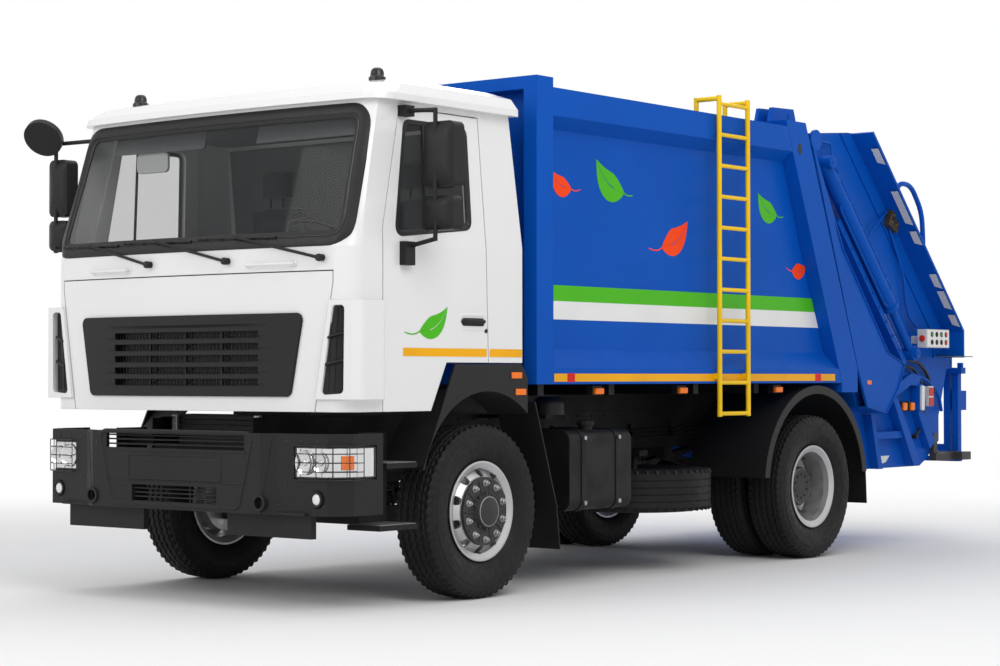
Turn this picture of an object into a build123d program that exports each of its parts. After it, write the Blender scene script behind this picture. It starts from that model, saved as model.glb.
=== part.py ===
"""Two-axle garbage truck with a rear-loading tailgate, in millimetres.

The front of the truck faces -Y, its left side is +X and +Z is up. The origin is on the ground,
in the middle of the truck. Profiles are drawn in the truck's own stations: y is measured back
from the front axle and z up from the ground, and the planes below carry them into place.
"""

from build123d import *
import math
import os

# Running gear
FRONT_AXLE_Y = -2580
WHEELBASE = 3820
TYRE_R = 520
AXLE_Z = 518
TYRE_HALF_WIDTH = 147
TREAD_HALF_WIDTH = 118
RIM_R = 298
RIM_HALF_WIDTH = 117
FRONT_TRACK_X = 1076
REAR_OUTER_X = 1085
REAR_INNER_X = 750
KINGPIN_X = 860
TIE_ROD_Y = 200
RAIL_X = 425
RAIL_LOW = 810
RAIL_TOP = 1080

# Bumper
SOCKET_R = 32
SOCKET_Z = 610
PLATE_Z = 785
PLATE_HOLES_X, PLATE_HOLES_Z = 480, 70
PLATE_HOLE_R = 3.3

# Cab
CAB_HALF = 1240
CAB_LOW = 1120
CAB_FLOOR = 1400
CAB_TOP = 3050
CAB_WALL = 25
NOSE_Y = -1290
SCREEN_FOOT = 2045
RAKE = 0.31
NOSE_SAG, NOSE_HALF = 58, 1130
DOOR_DEPTH = 45
GLASS = 8
GAP = 6

# Container and tailgate
BODY_HALF = 1250
BODY_LOW = 1270
BODY_TOP = 3130
BODY_FRONT = 460
WALL_X = 1150
SHEET = 8
GATE_WALL_X = 1050
GATE_GAP = 8
HINGE_Y, HINGE_Z = 3780, 3208
SLIDE_PIN_Y, SLIDE_PIN_Z = 5420, 1500
SLIDE_ANGLE = 46

os.makedirs("parts", exist_ok=True)


def side(x):
    """The plane at x, seen from the left: stations run to its right and heights up it."""
    return Plane(origin=(x, FRONT_AXLE_Y, 0), x_dir=(0, 1, 0), z_dir=(1, 0, 0))


def across(y):
    """The upright plane across the truck at station y, facing the front."""
    return Plane(origin=(0, FRONT_AXLE_Y + y, 0), x_dir=(1, 0, 0), z_dir=(0, -1, 0))


def plan(z):
    """The level plane at height z."""
    return Plane(origin=(0, FRONT_AXLE_Y, z))


def block(x0, x1, y0, y1, z0, z1, mode=Mode.ADD):
    """A box between two stations, two widths and two heights."""
    with BuildSketch(plan(z0)) as profile:
        with Locations(((x0 + x1) / 2, (y0 + y1) / 2)):
            Rectangle(x1 - x0, y1 - y0)
    extrude(profile.sketch, amount=z1 - z0, mode=mode)


def slab(points, x0, x1, mode=Mode.ADD):
    """A side outline made solid from x0 to x1."""
    with BuildSketch(side(x0)) as profile:
        with BuildLine():
            Polyline(points, close=True)
        make_face()
    extrude(profile.sketch, amount=x1 - x0, mode=mode)


def disc(y, z, r, x0, x1, mode=Mode.ADD):
    """A round bar across the truck."""
    with BuildSketch(side(x0)) as profile:
        with Locations((y, z)):
            Circle(r)
    extrude(profile.sketch, amount=x1 - x0, mode=mode)


def post(x, y, r, z0, z1, mode=Mode.ADD):
    """An upright round bar."""
    with BuildSketch(plan(z0)) as profile:
        with Locations((x, y)):
            Circle(r)
    extrude(profile.sketch, amount=z1 - z0, mode=mode)


def rod(start, end, r, mode=Mode.ADD):
    """A round bar from one point to another."""
    p = Vector(start[0], start[1] + FRONT_AXLE_Y, start[2])
    q = Vector(end[0], end[1] + FRONT_AXLE_Y, end[2])
    with BuildSketch(Plane(origin=p, z_dir=q - p)) as profile:
        Circle(r)
    extrude(profile.sketch, amount=(q - p).length, mode=mode)


def turned(section, y):
    """A ring turned about an axle at station y. The section holds (x, radius) pairs."""
    with BuildSketch(Plane(origin=(0, FRONT_AXLE_Y + y, AXLE_Z))) as profile:
        with BuildLine():
            Polyline(section, close=True)
        make_face()
    revolve(profile.sketch, axis=Axis((0, FRONT_AXLE_Y + y, AXLE_Z), (1, 0, 0)))


def both_sides():
    """Adds the right-hand twin of what has been made so far."""
    mirror(about=Plane.YZ)


def save(part, label):
    """Labels a finished piece and writes its file."""
    part.label = label
    export_step(part, "parts/" + label + ".step")


# ---------------------------------------------------------------- frame and running gear

with BuildPart() as frame_rails:
    block(RAIL_X - 80, RAIL_X, -1150, 4480, RAIL_LOW, RAIL_TOP)
    block(RAIL_X - 80, RAIL_X - 8, -1150, 4480, RAIL_LOW + 8, RAIL_TOP - 8, Mode.SUBTRACT)
    both_sides()
    for cross_y in (-1140, 700, 1600, 2900, 4400):
        block(-RAIL_X + 8, RAIL_X - 8, cross_y, cross_y + 60, RAIL_LOW + 20, RAIL_LOW + 110)
save(frame_rails.part, "frame_rails")

with BuildPart() as engine:
    block(-330, 330, -560, 440, 660, 1260)
    chamfer(engine.edges().filter_by(Axis.Y), 60)
save(engine.part, "engine")

with BuildPart() as radiator:
    block(-335, 335, -1010, -900, 660, 1095)
save(radiator.part, "radiator")

with BuildPart() as front_axle:
    block(-800, 800, -48, 48, 470, 530)
    block(-640, 640, -48, 48, 400, 470)
    for king_x in (-KINGPIN_X, KINGPIN_X):
        post(king_x, 0, 62, 470, 562)
    for king_x in (-KINGPIN_X, KINGPIN_X):
        post(king_x, 0, 25.05, 380, 600, Mode.SUBTRACT)
save(front_axle.part, "front_axle")

with BuildPart() as rear_axle:
    disc(WHEELBASE, AXLE_Z, 75, -600, 600)
    with Locations((0, FRONT_AXLE_Y + WHEELBASE, AXLE_Z)):
        Sphere(200)
    disc(WHEELBASE, AXLE_Z, 50, -1070, 1070)
    rod((0, 700, 760), (0, WHEELBASE - 150, 560), 50)
save(rear_axle.part, "rear_axle")

# Spring packs: station of the eyes, height of the middle, height of the eyes
spring_packs = ((-720, 720, 530, 700), (WHEELBASE - 720, WHEELBASE + 720, 593, 720))
with BuildPart() as leaf_springs:
    for front_eye, rear_eye, low_z, eye_z in spring_packs:
        middle = (front_eye + rear_eye) / 2
        slab(
            (
                (front_eye, eye_z),
                (middle - 120, low_z),
                (middle + 120, low_z),
                (rear_eye, eye_z),
                (rear_eye, eye_z + 40),
                (middle + 120, low_z + 75),
                (middle - 120, low_z + 75),
                (front_eye, eye_z + 40),
            ),
            RAIL_X - 78,
            RAIL_X - 4,
        )
        for eye_y in (front_eye, rear_eye):
            slab(
                (
                    (eye_y - 40, eye_z + 5),
                    (eye_y + 40, eye_z + 5),
                    (eye_y + 60, RAIL_LOW),
                    (eye_y - 60, RAIL_LOW),
                ),
                RAIL_X - 78,
                RAIL_X - 4,
            )
    both_sides()
save(leaf_springs.part, "leaf_springs")


def knuckle(sign):
    """A fork round the axle's eye, the stub axle outside it and the steering arm behind it."""
    king = sign * KINGPIN_X
    plate_in = sign * (KINGPIN_X + 68)
    plate_out = sign * (KINGPIN_X + 77)
    for low_z, high_z in ((392, 464), (568, 640)):
        post(king, 0, 60, low_z, high_z)
        block(*sorted((king, plate_in)), -60, 60, low_z, high_z)
    block(*sorted((plate_in, plate_out)), -60, 60, 392, 640)
    post(king, 0, 25, 400, 630)
    disc(0, AXLE_Z, 45, *sorted((plate_in, sign * 1170)))
    block(king - 25, king + 25, 50, TIE_ROD_Y, 415, 445)
    post(king, TIE_ROD_Y, 28, 415, 445)
    post(king, TIE_ROD_Y, 15, 370, 420)


with BuildPart() as left_knuckle:
    knuckle(1)
save(left_knuckle.part, "left_knuckle")

with BuildPart() as right_knuckle:
    knuckle(-1)
save(right_knuckle.part, "right_knuckle")

with BuildPart() as tie_rod:
    rod((-KINGPIN_X, TIE_ROD_Y, 394), (KINGPIN_X, TIE_ROD_Y, 394), 13)
    for king_x in (-KINGPIN_X, KINGPIN_X):
        post(king_x, TIE_ROD_Y, 30, 380, 408)
    for king_x in (-KINGPIN_X, KINGPIN_X):
        post(king_x, TIE_ROD_Y, 15.05, 360, 430, Mode.SUBTRACT)
save(tie_rod.part, "tie_rod")

# ---------------------------------------------------------------- wheels


def tyre_ring(centre_x):
    """Half section of a tyre, as (x, radius) pairs round its middle."""
    half = (
        (97, 271),
        (97, 303),
        (130, 345),
        (TYRE_HALF_WIDTH, 425),
        (136, 490),
        (TREAD_HALF_WIDTH, TYRE_R),
    )
    left = [(centre_x + x, r) for x, r in half]
    right = [(centre_x - x, r) for x, r in reversed(half)]
    return left + right


def rim_ring(centre_x):
    """Section of a rim with its two flanges."""
    outer = ((RIM_HALF_WIDTH, RIM_R), (108, RIM_R), (100, 268), (60, 262))
    inner = ((60, 246), (100, 252), (RIM_HALF_WIDTH, 286))
    left = [(centre_x + x, r) for x, r in outer]
    right = [(centre_x - x, r) for x, r in reversed(outer)]
    bottom = [(centre_x - x, r) for x, r in inner[::-1]] + [(centre_x + x, r) for x, r in inner]
    return left + right + bottom


def face_side(profile, sign):
    """The same section on the left (1) or on the right (-1)."""
    return [(sign * x, r) for x, r in profile]


def hand_holes(y, sign, x0, x1, ring_r, hole_r):
    """Ten round holes through a wheel's disc."""
    for turn in range(10):
        angle = math.radians(36 * turn + 18)
        hole_y = y + ring_r * math.cos(angle)
        hole_z = AXLE_Z + ring_r * math.sin(angle)
        disc(hole_y, hole_z, hole_r, *sorted((sign * x0, sign * x1)), Mode.SUBTRACT)


FRONT_DISC = [(1128, 253), (1178, 205), (1178, 60), (1192, 60), (1192, 208), (1142, 255)]
FRONT_HUB = [
    (945, 45.05),
    (945, 205),
    (1090, 205),
    (1110, 140),
    (1178, 140),
    (1178, 200),
    (1216, 200),
    (1216, 98),
    (1250, 88),
    (1250, 0),
    (1180, 0),
    (1180, 45.05),
]
REAR_DISCS = (
    [(1005, 253), (926, 200), (926, 60), (918, 60), (918, 205), (992, 256)],
    [(830, 253), (910, 200), (910, 60), (918, 60), (918, 205), (843, 256)],
)
REAR_HUB = [
    (640, 75.5),
    (640, 205),
    (850, 205),
    (905, 190),
    (950, 190),
    (950, 140),
    (1085, 140),
    (1100, 125),
    (1100, 0),
    (1078, 0),
    (1078, 50.05),
    (655, 50.05),
    (655, 75.5),
]

for name, sign in (("front_left", 1), ("front_right", -1)):
    with BuildPart() as front_tyre:
        turned(face_side(tyre_ring(FRONT_TRACK_X), sign), 0)
    save(front_tyre.part, name + "_tyre")
    with BuildPart() as front_rim:
        turned(face_side(rim_ring(FRONT_TRACK_X), sign), 0)
        turned(face_side(FRONT_DISC, sign), 0)
        hand_holes(0, sign, 1110, 1200, 229, 27)
        turned(face_side(FRONT_HUB, sign), 0)
    save(front_rim.part, name + "_rim")

for name, sign in (("rear_left", 1), ("rear_right", -1)):
    with BuildPart() as rear_tyres:
        for centre_x in (REAR_OUTER_X, REAR_INNER_X):
            turned(face_side(tyre_ring(centre_x), sign), WHEELBASE)
    save(rear_tyres.part, name + "_tyres")
    with BuildPart() as rear_rims:
        for centre_x in (REAR_OUTER_X, REAR_INNER_X):
            turned(face_side(rim_ring(centre_x), sign), WHEELBASE)
        for section in REAR_DISCS:
            turned(face_side(section, sign), WHEELBASE)
        hand_holes(WHEELBASE, sign, 800, 1050, 229, 27)
        turned(face_side(REAR_HUB, sign), WHEELBASE)
    save(rear_rims.part, name + "_rims")

# ---------------------------------------------------------------- tanks and boxes on the frame

with BuildPart() as fuel_tank:
    block(640, 1180, 887, 1555, 470, 980)
    fillet(fuel_tank.edges().filter_by(Axis.Y), 70)
    for strap_y in (1010, 1380):
        with BuildSketch(across(strap_y)):
            with Locations((910, 725)):
                RectangleRounded(552, 522, 76)
        extrude(amount=-55)
    post(1080, 1190, 45, 975, 1010)
    for bracket_y in (960, 1400):
        block(RAIL_X, 700, bracket_y, bracket_y + 60, 830, 930)
save(fuel_tank.part, "fuel_tank")

with BuildPart() as air_cleaner:
    post(960, 960, 100, 1075, 1190)
    fillet(air_cleaner.faces().sort_by(Axis.Z)[-1].edges(), 55)
    block(RAIL_X, 960, 930, 990, 1050, 1075)
save(air_cleaner.part, "air_cleaner")

with BuildPart() as battery_box:
    block(-1180, -700, 900, 1420, 520, 900)
    chamfer(battery_box.edges().filter_by(Axis.Y), 20)
    block(-700, -RAIL_X, 1000, 1300, 820, 880)
save(battery_box.part, "battery_box")

with BuildPart() as air_tanks:
    for tank_x in (-620, -900):
        with BuildSketch(across(1500)):
            with Locations((tank_x, 720)):
                Circle(120)
        extrude(amount=-620)
    for strap_y in (1620, 1950):
        block(-1000, -RAIL_X, strap_y, strap_y + 40, 835, 870)
save(air_tanks.part, "air_tanks")

with BuildPart() as silencer:
    with BuildSketch(across(2200)):
        with Locations((-820, 640)):
            Ellipse(260, 200)
    extrude(amount=-640)
    block(-900, -RAIL_X, 2450, 2520, 825, 865)
save(silencer.part, "silencer")

with BuildPart() as spare_wheel:
    spare_axis = Axis((680, FRONT_AXLE_Y + 2300, 0), (0, 0, 1))
    with BuildSketch(Plane(origin=(680, FRONT_AXLE_Y + 2300, 550), x_dir=(1, 0, 0), z_dir=(0, -1, 0))):
        with BuildLine():
            Polyline([(r, x) for x, r in tyre_ring(0)], close=True)
        make_face()
        with BuildLine():
            Polyline([(r + 2, x) for x, r in rim_ring(0)], close=True)
        make_face()
    revolve(axis=spare_axis)
    post(680, 2300, 262, 560, 576)
    post(680, 2300, 22, 500, 780)
    block(-RAIL_X, 760, 2250, 2350, 770, RAIL_LOW)
save(spare_wheel.part, "spare_wheel")

# ---------------------------------------------------------------- bumper, steps and guards

BUMPER_PLAN = ((-1240, -920), (-1240, -1180), (-1150, -1300), (-800, -1328), (-700, -1372))


def bumper_form(inset):
    """The bumper's outline from above, drawn in by its wall."""
    half = [(x + inset * 0.9, y + inset) for x, y in BUMPER_PLAN]
    half[0] = (half[0][0], -900)
    return half + [(-x, y) for x, y in reversed(half)]


def lamp_zone(outer, inner, margin):
    """The band of bumper skin around each headlamp, between two insets of its outline."""
    z0, z1 = LAMP_LOW - margin, LAMP_TOP + margin
    for inset, mode in ((outer, Mode.ADD), (inner, Mode.SUBTRACT)):
        with BuildSketch(plan(z0)) as profile:
            with BuildLine():
                Polyline(bumper_form(inset), close=True)
            make_face()
        extrude(profile.sketch, amount=z1 - z0, mode=mode)
    block(920 - margin, 1300, -1400, -1000 + margin, z0, z1, Mode.INTERSECT)
    both_sides()


LAMP_LOW, LAMP_TOP = 752, 928
FOG_X, FOG_Z, FOG_R = 1076, 638, 45
with BuildPart() as lamp_pockets:
    lamp_zone(-30, 16, 8)

with BuildPart() as front_bumper:
    with BuildSketch(plan(545)):
        with BuildLine():
            Polyline(bumper_form(0), close=True)
        make_face()
    extrude(amount=455)
    with BuildSketch(plan(530)):
        with BuildLine():
            Polyline(bumper_form(24), close=True)
        make_face()
    extrude(amount=520, mode=Mode.SUBTRACT)
    block(-1300, 1300, -940, -880, 500, 1100, Mode.SUBTRACT)
    block(-578, 578, -1400, -1300, 900, 985, Mode.SUBTRACT)
    block(-354, 354, -1400, -1300, 590, 685, Mode.SUBTRACT)
    for socket_x in (-700, 700):
        with BuildSketch(across(-1300)):
            with Locations((socket_x, SOCKET_Z)):
                Circle(48)
        extrude(amount=84)
    for socket_x in (-700, 700):
        with BuildSketch(across(-1250)):
            with Locations((socket_x, SOCKET_Z)):
                Circle(SOCKET_R)
        extrude(amount=200, mode=Mode.SUBTRACT)
    with BuildSketch(across(-1300)):
        with Locations((0, PLATE_Z)):
            with GridLocations(PLATE_HOLES_X, PLATE_HOLES_Z, 2, 2):
                Circle(PLATE_HOLE_R)
    extrude(amount=100, mode=Mode.SUBTRACT)
    add(lamp_pockets.part, mode=Mode.SUBTRACT)
    with BuildSketch(across(-1200)):
        with Locations((-FOG_X, FOG_Z), (FOG_X, FOG_Z)):
            Circle(FOG_R + 5)
    extrude(amount=200, mode=Mode.SUBTRACT)
    for bracket_x in (-400, 400):
        block(bracket_x - 30, bracket_x + 30, -1350, -1150, 850, 890)
    for plate_x in (-680, 680):
        block(plate_x - 330, plate_x + 330, -1280, -1240, 413, 545)
        block(plate_x - 330, plate_x + 330, -1340, -1240, 545, 560)
save(front_bumper.part, "front_bumper")

with BuildPart() as front_lamps:
    lamp_zone(-8, 16, 0)
    with BuildSketch(across(-1255)):
        with Locations((-FOG_X, FOG_Z), (FOG_X, FOG_Z)):
            Circle(FOG_R)
    extrude(amount=60)
save(front_lamps.part, "front_lamps")

with BuildPart() as cab_steps:
    for tread_z, tread_y in ((800, -915), (450, -975)):
        block(1000, 1245, tread_y, -652, tread_z, tread_z + 30)
    block(1000, 1020, -900, -660, 450, 1000)
    block(RAIL_X, 1000, -820, -740, 900, 960)
    both_sides()
save(cab_steps.part, "cab_steps")

GUARD_R = 722
with BuildPart() as mudguards:
    with BuildSketch(side(602)):
        with Locations((WHEELBASE, 530)):
            Circle(GUARD_R)
            Circle(GUARD_R - 8, mode=Mode.SUBTRACT)
            with Locations((0, -600)):
                Rectangle(2000, 1350, mode=Mode.SUBTRACT)
    extrude(amount=638)
    with BuildSketch(side(1228)):
        with Locations((WHEELBASE, 530)):
            Circle(GUARD_R)
            Circle(GUARD_R - 60, mode=Mode.SUBTRACT)
            with Locations((0, -600)):
                Rectangle(2000, 1350, mode=Mode.SUBTRACT)
    extrude(amount=12)
    slab(((4536, 615), (4544, 615), (4560, 365), (4552, 365)), 640, 1230)
    slab(((453, 1163), (461, 1166), (686, 503), (678, 500)), 930, 1240)
    slab(((678, 500), (686, 503), (720, 250), (712, 250)), 940, 1235)
    block(RAIL_X, 602, 3780, 3860, 1200, 1240)
    block(RAIL_X, RAIL_X + 10, 3780, 3860, 1000, 1240)
    block(RAIL_X, 960, 535, 600, 900, 930)
    both_sides()
save(mudguards.part, "mudguards")

# ---------------------------------------------------------------- container

# The section's left half, from the middle of the floor to the middle of the roof
CONTAINER_SECTION = (
    (0, BODY_LOW),
    (BODY_HALF, BODY_LOW),
    (BODY_HALF, 1370),
    (WALL_X, 1490),
    (WALL_X - 8, 2200),
    (WALL_X, 2860),
    (BODY_HALF, 2930),
    (BODY_HALF, 3105),
    (0, BODY_TOP),
)
REAR_FACE_TOP_Y = 3650
REAR_FACE_LOW_Y = 4390


def rear_face(z):
    """Station of the slanted rear face of the container at height z."""
    slope = (REAR_FACE_LOW_Y - REAR_FACE_TOP_Y) / (3150 - 1376)
    return REAR_FACE_TOP_Y + (3150 - z) * slope


with BuildPart() as container_shell:
    with BuildSketch(across(BODY_FRONT + 170)):
        with BuildLine():
            half = list(CONTAINER_SECTION)
            Polyline(half + [(-x, z) for x, z in reversed(half[1:-1])], close=True)
        make_face()
        offset(amount=-SHEET, mode=Mode.SUBTRACT)
    extrude(amount=-3800)
    rear_cut = ((3380, 3140), (3380, 3400), (5000, 3400), (5000, 1000), (4155, 1000), (4155, 1270))
    slab(rear_cut, -1400, 1400, Mode.SUBTRACT)
    block(-1140, 1140, BODY_FRONT + 170, BODY_FRONT + 178, BODY_LOW + 4, BODY_TOP - 4)
save(container_shell.part, "container_shell")

with BuildPart() as container_frame:
    with BuildSketch(across(BODY_FRONT)):
        with Locations((0, (BODY_LOW + 3165) / 2)):
            Rectangle(2 * BODY_HALF, 3165 - BODY_LOW)
            Rectangle(2 * BODY_HALF - 200, 3165 - BODY_LOW - 160, mode=Mode.SUBTRACT)
    extrude(amount=-170)
    block(-1150, 1150, BODY_FRONT + 150, BODY_FRONT + 170, BODY_LOW + 80, 3085)
save(container_frame.part, "container_frame")

with BuildPart() as subframe:
    for rail_x in (-RAIL_X, RAIL_X - 80):
        block(rail_x, rail_x + 80, 480, 4140, RAIL_TOP, BODY_LOW)
    for cross_y in (600, 1350, 2330, 3100):
        block(-1150, 1150, cross_y, cross_y + 60, 1200, BODY_LOW)
save(subframe.part, "subframe")

REAR_POST = (
    (3380, 3150),
    (REAR_FACE_TOP_Y, 3150),
    (REAR_FACE_LOW_Y, 1376),
    (REAR_FACE_LOW_Y, 1200),
    (4160, 1200),
    (4160, 1270),
)
HINGE_LUG = ((3500, 3150), (3540, 3270), (3830, 3280), (3860, 3200), (3700, 3120), (3660, 3120))
with BuildPart() as rear_frame:
    slab(REAR_POST, GATE_WALL_X, BODY_HALF)
    slab(
        ((3400, 3130), (3760, 3130), (4500, 1376), (4500, 1220), (4180, 1220), (4180, 1270)),
        WALL_X,
        BODY_HALF - 10,
        Mode.SUBTRACT,
    )
    both_sides()
    slab(((3380, 3060), (3680, 3060), (3650, 3150), (3380, 3150)), -GATE_WALL_X, GATE_WALL_X)
    slab(((4160, 1200), (4390, 1200), (4390, 1270), (4160, 1270)), -GATE_WALL_X, GATE_WALL_X)
    add(container_shell.part, mode=Mode.SUBTRACT)
    for lug_x in (900, 1010):
        for sign in (-1, 1):
            x0, x1 = sorted((sign * lug_x, sign * (lug_x + 30)))
            slab(HINGE_LUG, x0, x1)
    for lug_x in (900, 1010):
        for sign in (-1, 1):
            disc(HINGE_Y, HINGE_Z, 32.05, *sorted((sign * (lug_x - 5), sign * (lug_x + 35))), Mode.SUBTRACT)
save(rear_frame.part, "rear_frame")

with BuildPart() as ejector_plate:
    slab(((700, 1300), (760, 1300), (760, 3090), (700, 3090)), -1110, 1110)
save(ejector_plate.part, "ejector_plate")

with BuildPart() as ladder:
    for stile_y in (2450, 2810):
        rod((1285, stile_y, 1045), (1285, stile_y, 3230), 17)
        rod((1285, stile_y, 3210), (1100, stile_y, 3210), 17)
        rod((1100, stile_y, 3225), (1100, stile_y, 3115), 17)
    for rung in range(11):
        rung_z = 1065 + rung * 211
        rod((1285, 2450, rung_z), (1285, 2810, rung_z), 14)
    for stile_y in (2450, 2810):
        block(BODY_HALF, 1285, stile_y - 15, stile_y + 15, 1300, 1340)
save(ladder.part, "ladder")

# ---------------------------------------------------------------- cab


def cab_form(inset, low, high=2900):
    """The cab between two heights, drawn in by a wall.

    It is upright up to the windscreen's foot, leans back with the windscreen above it, and its
    sides draw in towards the roof.
    """
    nose = NOSE_Y + inset
    edge = CAB_HALF - inset
    for z0, z1, lean in ((low, min(high, SCREEN_FOOT), 0), (SCREEN_FOOT, high, RAKE)):
        if z1 > z0:
            with BuildSketch(plan(z0)) as profile:
                with BuildLine():
                    bow = NOSE_HALF - inset
                    front = ThreePointArc((-bow, nose + NOSE_SAG), (0, nose), (bow, nose + NOSE_SAG))
                    corner = ThreePointArc(front @ 1, (edge - 22, nose + 115), (edge, nose + 215))
                    Polyline(corner @ 1, (edge, 900), (-edge, 900), (-edge, nose + 215))
                    ThreePointArc((-edge, nose + 215), (-edge + 22, nose + 115), front @ 0)
                make_face()
            extrude(profile.sketch, amount=(z1 - z0) * math.hypot(1, lean), dir=(0, lean, 1))
    with BuildSketch(across(1000)) as profile:
        with BuildLine():
            Polyline(
                (-edge, 1000),
                (edge, 1000),
                (edge, 2080),
                (edge - 45, 3000),
                (-edge + 45, 3000),
                (-edge, 2080),
                close=True,
            )
        make_face()
    extrude(profile.sketch, amount=3000, mode=Mode.INTERSECT)
    rear = 330 - inset
    rear_outline = ((-1400, 1000), (rear, 1000), (rear, 2100), (rear - 100, 3000), (-1400, 3000))
    slab(rear_outline, -1400, 1400, Mode.INTERSECT)


def screen_y(x, z):
    """Station of the cab's front skin at a width and a height."""
    return NOSE_Y + NOSE_SAG * (x / NOSE_HALF) ** 2 + max(0, z - SCREEN_FOOT) * RAKE


with BuildPart() as cab_solid:
    cab_form(0, CAB_LOW)
with BuildPart() as cab_void:
    cab_form(CAB_WALL, CAB_FLOOR + 30, 2950)
with BuildPart() as cab_well:
    cab_form(CAB_WALL, CAB_LOW - 10, CAB_FLOOR)
with BuildPart() as door_void:
    cab_form(DOOR_DEPTH, CAB_LOW - 10)
with BuildPart() as glass_void:
    cab_form(GLASS + 8, CAB_LOW - 10)
with BuildPart() as glass_skin:
    cab_form(8, CAB_LOW - 10)

# Each roof section: height, half width, front and rear stations
ROOF_SECTIONS = (
    (2885, 1262, -1075, 262),
    (2925, 1262, -1062, 262),
    (2990, 1225, -960, 240),
    (3032, 1110, -780, 170),
    (CAB_TOP, 860, -540, 40),
)
with BuildPart() as cab_roof:
    for roof_z, half, front_y, rear_y in ROOF_SECTIONS:
        with BuildSketch(plan(roof_z)):
            with BuildLine():
                brow = ThreePointArc((-half + 120, front_y + 55), (0, front_y), (half - 120, front_y + 55))
                corner = ThreePointArc(brow @ 1, (half - 28, front_y + 115), (half, front_y + 225))
                Polyline(corner @ 1, (half, rear_y), (-half, rear_y), (-half, front_y + 225))
                ThreePointArc((-half, front_y + 225), (-half + 28, front_y + 115), brow @ 0)
            make_face()
    loft(ruled=True)

DOOR_OUTLINE = (
    (-940, CAB_LOW),
    (-525, CAB_LOW),
    (-385, CAB_FLOOR),
    (0, CAB_FLOOR),
    (-20, 2040),
    (-60, 2850),
    (-760, 2850),
    (-940, 2150),
)
WINDOW_OUTLINE = ((-830, 2120), (-160, 2190), (-175, 2780), (-720, 2780))
SCREEN_OUTLINE = ((-1200, 2080), (1200, 2080), (1150, 2835), (-1150, 2835))
FLAP_OUTLINE = (
    (-1000, CAB_LOW),
    (1000, CAB_LOW),
    (1124, 1845),
    (1124, 1905),
    (-1124, 1905),
    (-1124, 1845),
)
SCOOP_OUTLINE = ((1060, 1215), (1215, 1225), (1222, 1715), (1140, 1715))
GRILLE_OUTLINE = ((-835, 1205), (835, 1205), (925, 1675), (-925, 1675))


def outline_prism(points, x0, x1, grow=0, round_r=0, mode=Mode.ADD):
    """A side outline, grown by a gap and with rounded corners, made solid."""
    with BuildSketch(side(x0)) as profile:
        with BuildLine():
            Polyline(points, close=True)
        make_face()
        if round_r:
            fillet(profile.vertices(), round_r)
        if grow:
            offset(amount=grow, kind=Kind.INTERSECTION)
    extrude(profile.sketch, amount=x1 - x0, mode=mode)


def front_prism(points, y0, y1, grow=0, round_r=0, mode=Mode.ADD):
    """A front outline made solid from station y0 forward to y1."""
    with BuildSketch(across(y0)) as profile:
        with BuildLine():
            Polyline(points, close=True)
        make_face()
        if round_r:
            fillet(profile.vertices(), round_r)
        if grow:
            offset(amount=grow, kind=Kind.INTERSECTION)
    extrude(profile.sketch, amount=y0 - y1, mode=mode)


with BuildPart() as air_scoops:
    with BuildSketch(plan(1190)) as scoop_plan:
        with BuildLine():
            Polyline(
                (1000, -1264),
                (1268, -1238),
                (1314, -1190),
                (1314, -1010),
                (1270, -956),
                (1150, -956),
                (1000, -1150),
                close=True,
            )
        make_face()
        fillet(scoop_plan.vertices().group_by(Axis.X)[-1], 40)
    extrude(amount=555)
    front_prism(SCOOP_OUTLINE, -1000, -1400, round_r=25, mode=Mode.SUBTRACT)
    both_sides()

with BuildPart() as cab_shell:
    add(cab_solid.part)
    add(cab_roof.part)
    add(air_scoops.part)
    add(cab_void.part, mode=Mode.SUBTRACT)
    add(cab_well.part, mode=Mode.SUBTRACT)
    slab(((-545, 1100), (-405, CAB_FLOOR), (400, CAB_FLOOR), (400, 1100)), -1300, 1300, Mode.SUBTRACT)
    for x0 in (-1300, 1100):
        outline_prism(DOOR_OUTLINE, x0, x0 + 200, grow=GAP, mode=Mode.SUBTRACT)
    front_prism(SCREEN_OUTLINE, -900, -1400, round_r=100, mode=Mode.SUBTRACT)
    front_prism(FLAP_OUTLINE, -1150, -1400, grow=GAP, mode=Mode.SUBTRACT)
save(cab_shell.part, "cab_shell")

with BuildPart() as windscreen:
    add(glass_skin.part)
    add(glass_void.part, mode=Mode.SUBTRACT)
    front_prism(SCREEN_OUTLINE, -900, -1400, round_r=100, mode=Mode.INTERSECT)
save(windscreen.part, "windscreen")

with BuildPart() as front_flap:
    add(cab_solid.part)
    add(cab_void.part, mode=Mode.SUBTRACT)
    add(cab_well.part, mode=Mode.SUBTRACT)
    front_prism(FLAP_OUTLINE, -1190, -1400, mode=Mode.INTERSECT)
    front_prism(GRILLE_OUTLINE, -1100, -1400, round_r=40, mode=Mode.SUBTRACT)
save(front_flap.part, "front_flap")

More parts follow.
